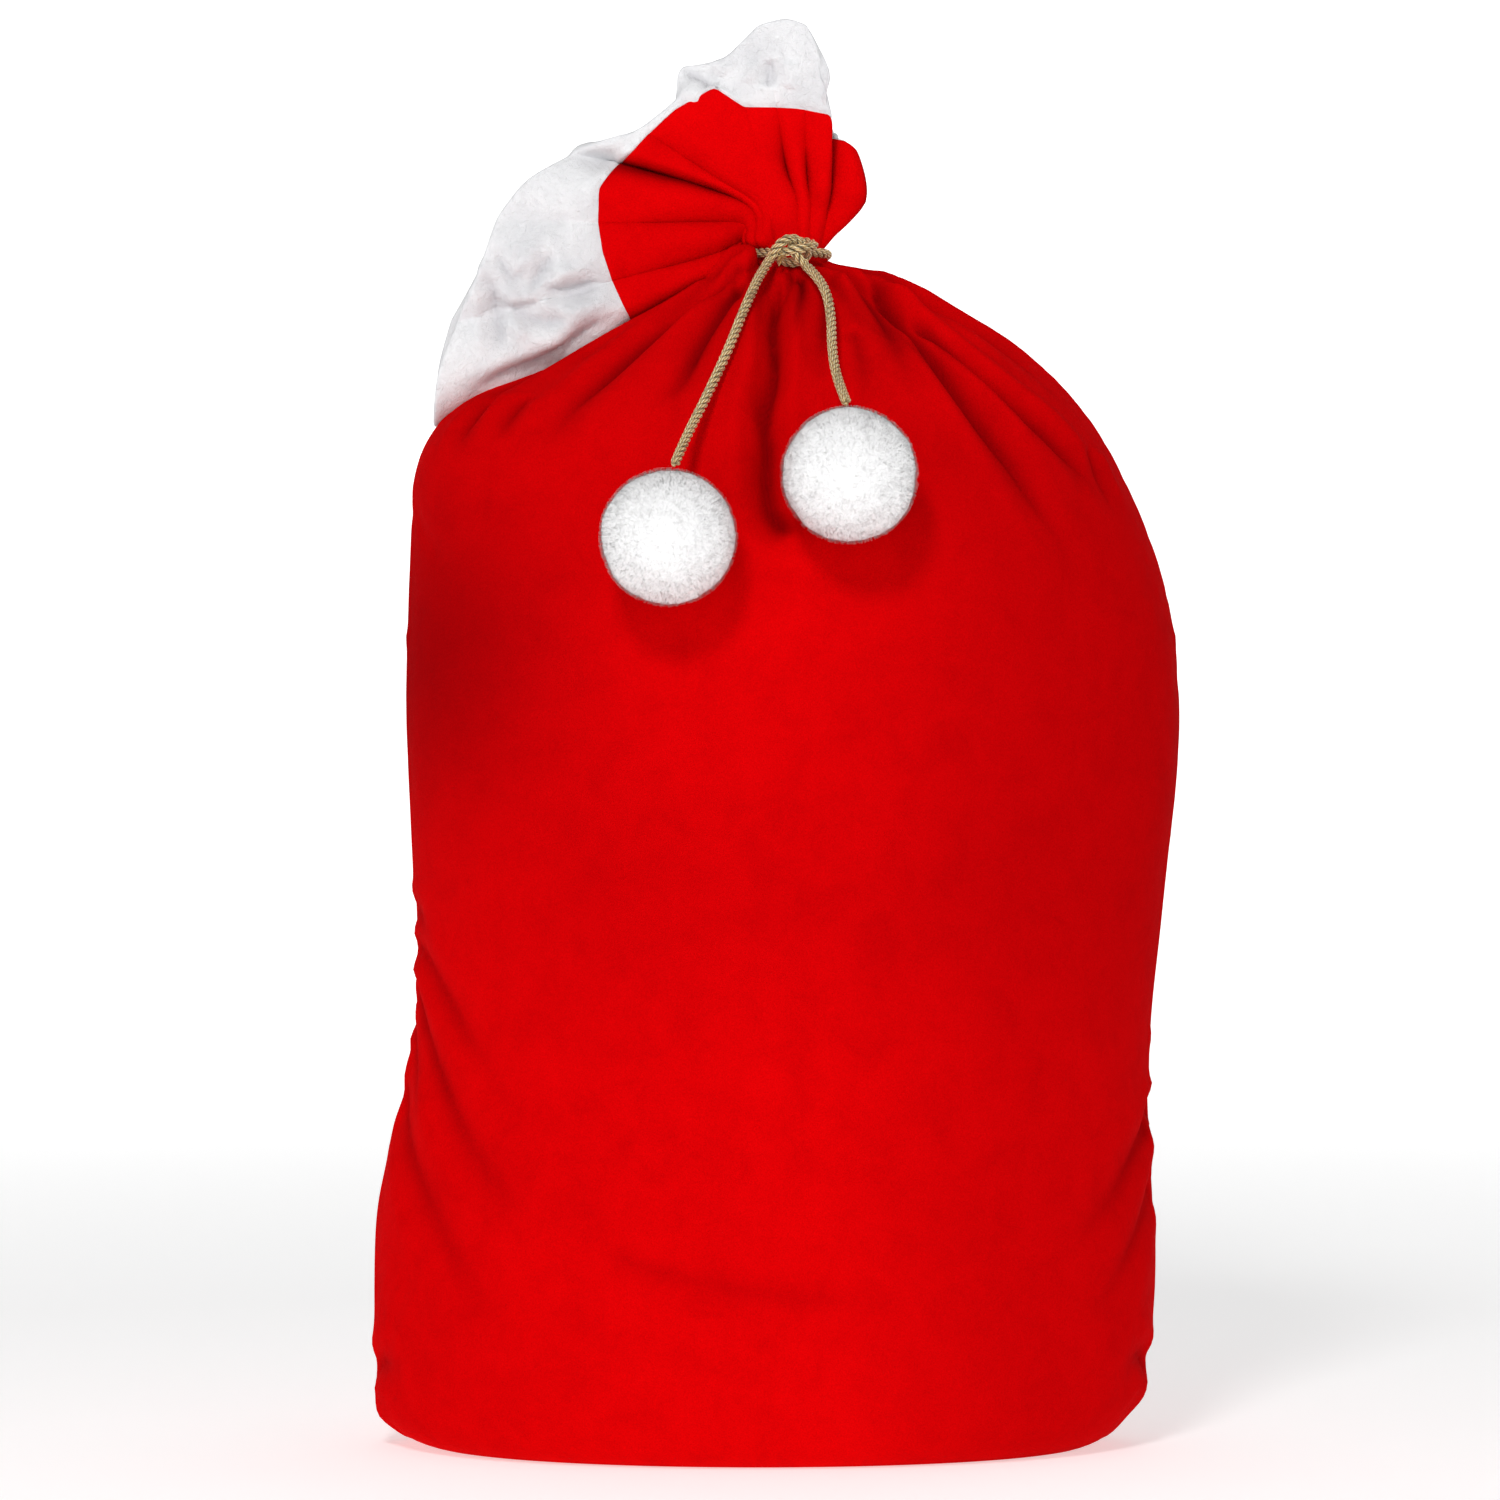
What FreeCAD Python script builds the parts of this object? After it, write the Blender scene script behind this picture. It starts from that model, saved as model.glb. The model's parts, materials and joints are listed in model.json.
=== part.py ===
"""Fabric gift sack, standing stuffed and tied: velvet sack, plush cuff, neck cord and two pom-poms.

Millimetres, +Z up, front towards -Y. The origin is on the floor, under the middle of the sack.
The driving sizes are in the spreadsheet "sizes"; every sub-part reads them from there.
"""
import FreeCAD, Part
import math
import os

import Sketcher

Vector = FreeCAD.Vector
doc = FreeCAD.newDocument("gift_sack")
sheet = doc.addObject("Spreadsheet::Sheet", "sizes")

# Levels of the stuffed sack, from the floor up: height, middle in X, half width, half depth.
LEVELS = {
    "floor": (0, -9, 190, 112),
    "heel": (18, -11, 221, 136),
    "foot": (78, -7, 234, 146),
    "hip": (145, -5, 233, 148),
    "waist": (213, 1.5, 223, 148),
    "belly": (388, 10, 229.5, 149),
    "chest": (558, 0, 218, 142),
    "armpit": (600, -5, 201, 130),
    "shoulder": (633, 8.5, 162, 112),
    "slope": (663, 19, 116, 84),
    "yoke": (690, 21.5, 65, 52),
    "throat": (704, 16, 38, 31),
    "neckline": (711, 8, 20, 20),
    "neck_top": (717.5, 8, 20, 20),
}
LEVEL_SIZES = ("height", "middle", "half_width", "half_depth")
# Well outside the sack, for the boxes that divide it.
FAR = "400"

SIZES = {
    "fabric_thickness": 3,
    "filling_gap": 0.5,
    "filling_top": 680,
    "seam_width": 4,
    "cord_diameter": 6,
    "cord_clearance": 0.3,
    "neck_cord_height": 714,
    # The knot at the front of the neck, and the thread tack that keeps the cord at the back.
    "knot_middle": 12,
    "knot_forward": 35,
    "knot_height": 714,
    "knot_half_width": 16.5,
    "knot_half_depth": 10,
    "knot_half_height": 10,
    "tack_width": 7,
    "tack_reach": 29,
    "tack_bottom": 709,
    # The cloth above the neck fans out about this point; two halves leave the mouth between them.
    "fan_height": 720,
    "fan_neck_half_depth": 16,
    "fan_neck_reach": 24,
    "fan_full_reach": 110,
    "fan_full_half_depth": 40,
    "fan_lip_reach": 200,
    "fan_end_reach": 245,
    "fan_end_half_depth": 24,
    # The two layers part at the mouth's floor, and are fully apart from its open reach outwards.
    "mouth_floor_reach": 24,
    "mouth_open_reach": 56,
    "mouth_half_gap": 8,
    "layer_gap": 0.3,
    "mouth_seam_thickness": 3,
    # Pom-poms on the ends of the cord.
    "pompom_radius": 40,
    "pompom_core_radius": 9,
    "pompom_tie_radius": 8.5,
}

# Corners of the fan, about its point: reach and angle, anticlockwise from +X seen from the front.
FAN = {
    "ruff_right": (36, 38),
    "ruff_bulge": (58, 39),
    "ruff_shoulder": (69, 53),
    "seam_right": (81, 73),
    "seam_dip": (84, 110),
    "seam_peak": (100, 117),
    "seam_upper": (102, 132),
    "seam_pleat": (117, 156),
    "seam_left": (112, 178),
    "seam_low": (101, 205.5),
    "ruff_low": (57, 201),
    "ruff_nape": (33, 184),
    "ruff_neck": (20, 182),
    "cuff_corner": (238, 205.5),
    "cuff_left": (200, 192),
    "cuff_crown": (166, 168),
    "cuff_upper": (126, 149),
    "cuff_notch": (110, 134),
    "cuff_fold": (118, 122),
    "cuff_step": (116, 111),
    "cuff_top": (133, 94),
    "cuff_right": (121, 83),
}
RUFF_OUTLINE = (
    "ruff_neck", "ruff_right", "ruff_bulge", "ruff_shoulder", "seam_right", "seam_dip", "seam_peak",
    "seam_upper", "seam_pleat", "seam_left", "seam_low", "ruff_low", "ruff_nape",
)
CUFF_OUTLINE = (
    "seam_right", "seam_dip", "seam_peak", "seam_upper", "seam_pleat", "seam_left", "seam_low",
    "cuff_corner", "cuff_left", "cuff_crown", "cuff_upper", "cuff_notch", "cuff_fold", "cuff_step",
    "cuff_top", "cuff_right",
)

# Centre lines of the two cord tails, from beside the knot to the top of the pom-pom.
LEFT_ROUTE = (
    (-3, -42, 708), (-9, -55, 698), (-14, -72, 686), (-20, -88, 671), (-26, -103, 654),
    (-34, -117, 635), (-42, -133, 617), (-51, -151, 598), (-58, -173, 580),
)
RIGHT_ROUTE = (
    (18, -44, 704), (25, -61, 696), (30.5, -80, 684), (32.5, -98, 668), (32.5, -115, 651.5),
    (34, -132, 637), (37, -151, 625), (40, -171, 615.5),
)
LEFT_POMPOM = (-61.5, -184, 538)
RIGHT_POMPOM = (41.5, -181, 573.5)
# The share of the shorter run that each arc takes up at a corner of a route.
ARC_SHARE = 0.45


def fill_sheet():
    """Writes every driving size into the sheet, one row each, with its alias."""
    rows = dict(SIZES)
    for level, values in LEVELS.items():
        for size, value in zip(LEVEL_SIZES, values):
            rows[f"{level}_{size}"] = value
    for corner, (reach, angle) in FAN.items():
        rows[f"{corner}_reach"] = reach
        rows[f"{corner}_angle"] = angle
    for row, (alias, value) in enumerate(rows.items(), start=1):
        sheet.set(f"A{row}", alias)
        sheet.set(f"B{row}", str(value))
        sheet.setAlias(f"B{row}", alias)
    doc.recompute()


def bind(feature, **expressions):
    """Binds properties of a feature to expressions over the sheet; a double underscore is a dot."""
    for name, expression in expressions.items():
        feature.setExpression(name.replace("__", "."), expression)
    return feature


def boolean(kind, name, base, tool):
    """A cut or a common of two features."""
    feature = doc.addObject(f"Part::{kind}", name)
    feature.Base = base
    feature.Tool = tool
    return feature


def named(feature, label):
    """Marks a feature as a finished sub-part: its label is the name of its file."""
    feature.Label = label
    return feature


# ---------------------------------------------------------------- the stuffed sack


def level_section(name, level, inset):
    """The sack's cross-section at one level: an ellipse, drawn in by inset.

    Four quarter arcs, from diagonal to diagonal, keep the loft's edges away from the sewn seams.
    """
    height, middle, half_width, half_depth = (sheet.get(f"{level}_{size}") for size in LEVEL_SIZES)
    ellipse = Part.Ellipse(Vector(middle, 0, height), half_width - inset, half_depth - inset)
    starts = [math.pi * (2 * quarter + 1) / 4 for quarter in range(4)]
    section = doc.addObject("Part::Feature", f"{name}_{level}")
    section.Shape = Part.Wire([Part.Arc(ellipse, start, start + math.pi / 2).toShape() for start in starts])
    return section


def level_loft(name, inset=0):
    """A solid through the sack's levels, drawn in by inset."""
    loft = doc.addObject("Part::Loft", name)
    loft.Sections = [level_section(name, level, inset) for level in LEVELS]
    loft.Solid = True
    loft.Ruled = False
    return loft


def slab(name, low, high):
    """A box between two corners given as expressions."""
    box = doc.addObject("Part::Box", name)
    for axis, size, start, end in zip("xyz", ("Length", "Width", "Height"), low, high):
        box.setExpression(f"Placement.Base.{axis}", start)
        box.setExpression(size, f"({end}) - ({start})")
    return box


def inner_solid(name, inset, floor, top):
    """What lies inside the cover: the sack's own form drawn in by inset, with a flat floor and top."""
    loft = level_loft(f"{name}_loft", inset)
    zone = slab(f"{name}_zone", (f"-{FAR}", f"-{FAR}", floor), (FAR, FAR, top))
    return boolean("Common", name, loft, zone)


def make_sack():
    """The two velvet panels, the seams between them and the filling inside."""
    outside = level_loft("cover_outside")
    thickness = "sizes.fabric_thickness"
    hollow = inner_solid("cover_hollow", sheet.fabric_thickness, thickness, "sizes.filling_top")
    cover = boolean("Cut", "cover", outside, hollow)

    top = "sizes.neck_top_height + 10"
    half_seam = "sizes.seam_width / 2"
    regions = {
        "front_panel": ((f"-{FAR}", f"-{FAR}", "-1"), (FAR, f"-{half_seam}", top)),
        "back_panel": ((f"-{FAR}", half_seam, "-1"), (FAR, FAR, top)),
        "bottom_seam": ((f"-{FAR}", f"-{half_seam}", "-1"), (FAR, half_seam, thickness)),
        "left_side_seam": (
            (f"-{FAR}", f"-{half_seam}", thickness),
            ("sizes.neck_top_middle", half_seam, top),
        ),
        "right_side_seam": (
            ("sizes.neck_top_middle", f"-{half_seam}", thickness),
            (FAR, half_seam, top),
        ),
    }
    for label, (low, high) in regions.items():
        named(boolean("Common", label, cover, slab(f"{label}_region", low, high)), label)

    filling = inner_solid(
        "filling",
        sheet.fabric_thickness + sheet.filling_gap,
        f"{thickness} + sizes.filling_gap",
        "sizes.filling_top - sizes.filling_gap",
    )
    named(filling, "filling")
    return outside


# ---------------------------------------------------------------- cord, knot and tack at the neck


def make_neck_cord(sack):
    """The cord round the neck, the knot that closes it, and the thread tack that holds it behind."""
    ring = bind(
        doc.addObject("Part::Torus", "neck_cord"),
        Radius1="sizes.neck_top_half_width + sizes.cord_clearance + sizes.cord_diameter / 2",
        Radius2="sizes.cord_diameter / 2",
        Placement__Base__x="sizes.neck_top_middle",
        Placement__Base__z="sizes.neck_cord_height",
    )
    named(ring, "neck_cord")

    # An ellipsoid's Radius2 lies along X, Radius3 along Y and Radius1 along Z.
    ball = bind(
        doc.addObject("Part::Ellipsoid", "knot_ball"),
        Radius1="sizes.knot_half_height",
        Radius2="sizes.knot_half_width",
        Radius3="sizes.knot_half_depth",
        Placement__Base__x="sizes.knot_middle",
        Placement__Base__y="-sizes.knot_forward",
        Placement__Base__z="sizes.knot_height",
    )
    named(boolean("Cut", "cord_knot", ball, ring), "cord_knot")

    stitches = slab(
        "tack_stitches",
        ("sizes.neck_top_middle - sizes.tack_width / 2", "sizes.neck_top_half_width / 2", "sizes.tack_bottom"),
        ("sizes.neck_top_middle + sizes.tack_width / 2", "sizes.tack_reach", "sizes.neck_top_height"),
    )
    outside_cord = boolean("Cut", "tack_round_cord", stitches, ring)
    named(boolean("Cut", "cord_tack", outside_cord, sack), "cord_tack")


# ---------------------------------------------------------------- ruff and cuff above the neck


def new_body(name):
    """A PartDesign body standing at the point the cloth fans out from."""
    body = doc.addObject("PartDesign::Body", name)
    bind(body, Placement__Base__x="sizes.neck_top_middle", Placement__Base__z="sizes.fan_height")
    return body


def closed_sketch(body, name, plane, loops):
    """A sketch of closed straight-sided loops; each corner is a pair of expressions in its plane."""
    sketch = body.newObject("Sketcher::SketchObject", name)
    planes = {origin.Role: origin for origin in body.Origin.OriginFeatures}
    sketch.AttachmentSupport = [(planes[plane], "")]
    sketch.MapMode = "FlatFace"
    for corners in loops:
        first = sketch.GeometryCount
        # The starting points lie on a circle, so that the solver has a proper polygon to work on.
        turn = 2 * math.pi / len(corners)
        start = [Vector(100 * math.cos(i * turn), 100 * math.sin(i * turn), 0) for i in range(len(corners))]
        for i in range(len(corners)):
            sketch.addGeometry(Part.LineSegment(start[i], start[(i + 1) % len(corners)]), False)
        for i in range(len(corners)):
            after = first + (i + 1) % len(corners)
            sketch.addConstraint(Sketcher.Constraint("Coincident", first + i, 2, after, 1))
        for i, corner in enumerate(corners):
            for kind, expression in zip(("DistanceX", "DistanceY"), corner):
                number = sketch.addConstraint(Sketcher.Constraint(kind, -1, 1, first + i, 1, 1.0))
                sketch.setExpression(f"Constraints[{number}]", expression)
    doc.recompute()
    return sketch


def fan_corner(name):
    """A corner of the fan as X and Z expressions."""
    angle = f"sizes.{name}_angle * 1 deg"
    return (f"sizes.{name}_reach * cos({angle})", f"sizes.{name}_reach * sin({angle})")


def fan_profile(side):
    """Half the fan's thickness against its reach, on one side of the mouth: -1 front, 1 back."""
    outline = (
        ("0", "layer_gap"),
        ("0", "fan_neck_half_depth"),
        ("sizes.fan_neck_reach", "fan_neck_half_depth"),
        ("sizes.fan_full_reach", "fan_full_half_depth"),
        ("sizes.fan_lip_reach", "fan_full_half_depth"),
        ("sizes.fan_end_reach", "fan_end_half_depth"),
        ("sizes.fan_end_reach", "mouth_half_gap"),
        ("sizes.mouth_open_reach", "mouth_half_gap"),
        ("sizes.mouth_floor_reach", "layer_gap"),
    )
    return [(reach, f"{side} * sizes.{depth}") for reach, depth in outline]


def fan_piece(label, side, outline):
    """One layer of the fan: its profile turned about the neck, then cut back to the outline."""
    body = new_body(label)
    profile = closed_sketch(body, f"{label}_profile", "XY_Plane", [fan_profile(side)])
    turned = body.newObject("PartDesign::Revolution", f"{label}_turned")
    turned.Profile = profile
    turned.ReferenceAxis = (profile, ["V_Axis"])
    turned.Angle = 360
    doc.recompute()

    frame = [(f"-{FAR}", f"-{FAR}"), (FAR, f"-{FAR}"), (FAR, FAR), (f"-{FAR}", FAR)]
    trim = closed_sketch(body, f"{label}_outline", "XZ_Plane", [frame, [fan_corner(name) for name in outline]])
    cut = body.newObject("PartDesign::Pocket", f"{label}_trimmed")
    cut.Profile = trim
    cut.Type = "ThroughAll"
    cut.Midplane = True
    doc.recompute()
    if not cut.Shape.Volume < turned.Shape.Volume / 2:
        raise RuntimeError(f"{label}: the outline cut nothing away")
    return named(body, label)


def mouth_seam(label, corners, turn):
    """A narrow strip along one end of the mouth, where the two layers are sewn together."""
    body = new_body(label)
    inner = [fan_corner(name) for name in corners]
    lift = "sizes.mouth_seam_thickness"
    across = f"sizes.{corners[-1]}_angle * 1 deg {turn} 90 deg"
    outer = [(f"({x}) + {lift} * cos({across})", f"({z}) + {lift} * sin({across})") for x, z in inner]
    strip = closed_sketch(body, f"{label}_strip", "XZ_Plane", [inner + outer[::-1]])
    pad = body.newObject("PartDesign::Pad", f"{label}_pad")
    pad.Profile = strip
    pad.Midplane = True
    bind(pad, Length="2 * sizes.mouth_half_gap")
    doc.recompute()
    return named(body, label)


def make_mouth():
    """Red ruff and white cuff, front and back, and the seams at the two ends of the mouth."""
    for side, word in ((-1, "front"), (1, "back")):
        fan_piece(f"ruff_{word}", side, RUFF_OUTLINE)
        fan_piece(f"cuff_{word}", side, CUFF_OUTLINE)
    mouth_seam("mouth_left_seam", ("ruff_low", "seam_low", "cuff_corner"), "-")
    mouth_seam("mouth_right_seam", ("ruff_bulge", "ruff_shoulder", "seam_right", "cuff_right"), "+")


# ---------------------------------------------------------------- cord tails and pom-poms


def route_edges(points):
    """Straight runs joined by tangent arcs, the arcs' radii, and the whole length."""
    edges = []
    radii = []
    start = points[0]
    for before, corner, after in zip(points, points[1:], points[2:]):
        arriving = (corner - before).normalize()
        leaving = (after - corner).normalize()
        turn = arriving.getAngle(leaving)
        setback = ARC_SHARE * min((corner - before).Length, (after - corner).Length)
        radius = setback / math.tan(turn / 2)
        arc_start = corner - arriving * setback
        arc_end = corner + leaving * setback
        inward = (leaving - arriving).normalize()
        middle = corner + inward * (radius / math.cos(turn / 2) - radius)
        edges.append(Part.LineSegment(start, arc_start).toShape())
        edges.append(Part.Arc(arc_start, middle, arc_end).toShape())
        radii.append(radius)
        start = arc_end
    edges.append(Part.LineSegment(start, points[-1]).toShape())
    return edges, radii


def make_tail(label, route):
    """A cord tail: a round tube along its route, with a rounded end beside the knot."""
    points = [Vector(*point) for point in route]
    radius = sheet.cord_diameter / 2
    edges, radii = route_edges(points)
    path = Part.Wire(edges)
    section = Part.Wire([Part.makeCircle(radius, points[0], points[1] - points[0])])
    tube = path.makePipeShell([section], True, False)
    expected = math.pi * radius**2 * path.Length
    print(f"{label}: {path.Length:.1f} mm, arc radii {', '.join(f'{r:.0f}' for r in radii)}")
    if abs(tube.Volume / expected - 1) > 0.01:
        raise RuntimeError(f"{label}: the tube's volume is {tube.Volume:.0f}, not {expected:.0f}")
    tail = doc.addObject("Part::Feature", label)
    tail.Shape = tube.fuse(Part.makeSphere(radius, points[0])).removeSplitter()
    return named(tail, label)


def make_pompom(side, centre):
    """A pom-pom and, in its middle, the thread tie that holds the end of the cord."""
    place = FreeCAD.Placement(Vector(*centre), FreeCAD.Rotation())
    balls = {}
    for name in ("radius", "core_radius", "tie_radius"):
        ball = doc.addObject("Part::Sphere", f"{side}_pompom_{name}")
        balls[name] = bind(ball, Radius=f"sizes.pompom_{name}")
        ball.Placement = place
    named(boolean("Cut", f"{side}_pompom", balls["radius"], balls["core_radius"]), f"{side}_pompom")
    named(balls["tie_radius"], f"{side}_pompom_tie")


# ---------------------------------------------------------------- build and write


SUBPARTS = (
    "front_panel", "back_panel", "bottom_seam", "left_side_seam", "right_side_seam", "filling",
    "neck_cord", "cord_knot", "cord_tack",
    "ruff_front", "ruff_back", "cuff_front", "cuff_back", "mouth_left_seam", "mouth_right_seam",
    "left_tail_cord", "left_pompom", "left_pompom_tie",
    "right_tail_cord", "right_pompom", "right_pompom_tie",
)


def write_parts():
    """Checks every object and every sub-part's shape, then writes one STEP file each."""
    doc.recompute()
    failed = [item.Name for item in doc.Objects if "Invalid" in item.State or "Error" in item.State]
    if failed:
        raise RuntimeError(f"failed objects: {failed}")
    shapes = {}
    for label in SUBPARTS:
        shape = doc.getObjectsByLabel(label)[0].Shape
        if shape.isNull() or not shape.isValid() or not shape.Solids:
            raise RuntimeError(f"{label} has no valid solid")
        shapes[label] = shape
    os.makedirs("parts", exist_ok=True)
    for label, shape in shapes.items():
        shape.exportStep(f"parts/{label}.step")
        print(f"{label}: {len(shape.Solids)} solid, {shape.Volume / 1000:.1f} cm3")
    box = Part.makeCompound(list(shapes.values())).BoundBox
    print(f"box {box.XMin:.1f} {box.YMin:.1f} {box.ZMin:.1f} to {box.XMax:.1f} {box.YMax:.1f} {box.ZMax:.1f}")


fill_sheet()
sack_solid = make_sack()
make_neck_cord(sack_solid)
make_mouth()
make_tail("left_tail_cord", LEFT_ROUTE)
make_tail("right_tail_cord", RIGHT_ROUTE)
make_pompom("left", LEFT_POMPOM)
make_pompom("right", RIGHT_POMPOM)
write_parts()
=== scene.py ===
"""Looks of the fabric gift sack: a stuffed velvet sack, its plush cuff, a gold cord and two pom-poms.

Metres, +Z up, front towards -Y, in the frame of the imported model. Lengths in millimetres are
written as such and brought to metres with MM. Places come from the CAD nodes' boxes, from rays cast
at them, and from the joints' anchors.
"""

import json
import math

import bmesh
import bpy
import numpy as np
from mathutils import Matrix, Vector, noise
from mathutils.bvhtree import BVHTree


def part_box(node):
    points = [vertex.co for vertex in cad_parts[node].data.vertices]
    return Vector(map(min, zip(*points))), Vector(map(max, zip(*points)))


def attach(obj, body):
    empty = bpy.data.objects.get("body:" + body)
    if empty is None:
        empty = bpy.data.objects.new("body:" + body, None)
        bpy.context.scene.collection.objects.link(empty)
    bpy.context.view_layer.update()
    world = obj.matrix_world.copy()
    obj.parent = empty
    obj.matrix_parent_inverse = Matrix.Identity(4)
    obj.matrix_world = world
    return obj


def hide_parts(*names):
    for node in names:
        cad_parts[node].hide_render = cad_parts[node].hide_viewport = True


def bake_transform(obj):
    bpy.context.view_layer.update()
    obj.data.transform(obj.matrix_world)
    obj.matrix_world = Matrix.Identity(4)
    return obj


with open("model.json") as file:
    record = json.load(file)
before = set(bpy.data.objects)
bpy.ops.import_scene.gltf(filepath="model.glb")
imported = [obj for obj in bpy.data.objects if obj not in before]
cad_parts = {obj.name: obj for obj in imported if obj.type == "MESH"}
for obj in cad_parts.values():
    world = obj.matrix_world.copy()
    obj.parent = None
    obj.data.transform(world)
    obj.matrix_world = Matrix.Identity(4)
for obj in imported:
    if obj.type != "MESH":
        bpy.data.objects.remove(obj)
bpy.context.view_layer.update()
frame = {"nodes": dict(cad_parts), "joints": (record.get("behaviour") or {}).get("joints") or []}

MM = 0.001
RANDOM = np.random.default_rng(24)


# ---- small helpers


def link(item):
    bpy.context.scene.collection.objects.link(item)
    return item


def mesh_object(name, points, faces, material=None):
    """A smooth-shaded mesh object; its faces may differ in their number of corners."""
    mesh = bpy.data.meshes.new(name)
    mesh.from_pydata(np.asarray(points).tolist(), [], [list(map(int, face)) for face in faces])
    mesh.shade_smooth()
    if material:
        mesh.materials.append(material)
    return link(bpy.data.objects.new(name, mesh))


def points_of(item):
    points = np.zeros(len(item.data.vertices) * 3)
    item.data.vertices.foreach_get("co", points)
    return points.reshape(-1, 3)


def normals_of(item):
    normals = np.zeros(len(item.data.vertices) * 3)
    item.data.vertex_normals.foreach_get("vector", normals)
    return normals.reshape(-1, 3)


def move_points(item, points):
    item.data.vertices.foreach_set("co", points.ravel())
    item.data.update()


def grid_faces(rows, columns, closed=False):
    """Quads of a grid of points laid out row by row; closed joins the last column to the first."""
    faces = []
    for row in range(rows - 1):
        low, high = row * columns, (row + 1) * columns
        for column in range(columns if closed else columns - 1):
            after = (column + 1) % columns
            faces.append((low + column, low + after, high + after, high + column))
    return faces


def sleeve(name, rows, material=None):
    """A mesh over rows of points that each go once round."""
    faces = grid_faces(*rows.shape[:2], closed=True)
    return mesh_object(name, rows.reshape(-1, 3), faces, material)


def tree_of(meshes):
    """A search tree over the faces of several meshes."""
    points, faces = [], []
    for mesh in meshes:
        faces += [[len(points) + index for index in face.vertices] for face in mesh.polygons]
        points += [vertex.co[:] for vertex in mesh.vertices]
    return BVHTree.FromPolygons(points, faces)


def apply_modifiers(item):
    """Leaves the mesh as its modifiers show it."""
    graph = bpy.context.evaluated_depsgraph_get()
    done = bpy.data.meshes.new_from_object(item.evaluated_get(graph))
    old = item.data
    item.modifiers.clear()
    item.data = done
    bpy.data.meshes.remove(old)


def subdivide(item):
    item.modifiers.new("subdivide", "SUBSURF").levels = 1
    apply_modifiers(item)
    item.data.shade_smooth()


def through(points, count):
    """Points along a smooth curve that passes through the given ones (Catmull-Rom)."""
    points = np.asarray(points, float)
    ends = np.vstack([2 * points[0] - points[1], points, 2 * points[-1] - points[-2]])
    place = np.linspace(0, len(points) - 1, count)
    index = np.minimum(place.astype(int), len(points) - 2)
    t = (place - index)[:, None]
    a, b, c, d = (ends[index + k] for k in range(4))
    square, cube = 2 * a - 5 * b + 4 * c - d, 3 * b - a - 3 * c + d
    return 0.5 * (2 * b + (c - a) * t + square * t**2 + cube * t**3)


def lengths_along(points):
    """Distance along a line at each of its points."""
    steps = np.linalg.norm(np.diff(points, axis=0), axis=1)
    return np.concatenate([[0], np.cumsum(steps)])


def read_along(values, along, places):
    """Points or directions at given distances along a line, read between the ones it has."""
    return np.stack([np.interp(places, along, values[:, axis]) for axis in range(3)], axis=1)


def evenly(points, step):
    """Points a step apart along a line."""
    along = lengths_along(points)
    places = np.linspace(0, along[-1], max(int(round(along[-1] / step)) + 1, 4))
    return read_along(points, along, places)


def smoothstep(low, high, value):
    t = np.clip((value - low) / (high - low), 0, 1)
    return t * t * (3 - 2 * t)


def unit(vectors):
    return vectors / np.maximum(np.linalg.norm(vectors, axis=-1, keepdims=True), 1e-12)


def noise_at(points, scale, seed=0.0):
    """Smooth noise from -1 to 1 at each point."""
    shift = Vector((seed, seed * 1.7, -seed))
    return np.array([noise.noise(Vector(point) * scale + shift) for point in points])


def keep_shade(item, shade):
    """Keeps a painted shade, a darkness from 0 to 1, with each point, for the material to read."""
    kept = item.data.attributes.new("shade", "FLOAT", "POINT")
    kept.data.foreach_set("value", np.asarray(shade, np.float32))


def settle(item, body, slot, *nodes):
    """Puts a piece on its body, in place of the CAD nodes that it stands for; slot is not used."""
    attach(item, body)
    if nodes:
        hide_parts(*nodes)


def anchor_of(name):
    """The point that a joint turns about."""
    joint = next(joint for joint in frame["joints"] if joint["name"] == name)
    return np.array(joint["pos_m"], float)


# ---- materials


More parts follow.
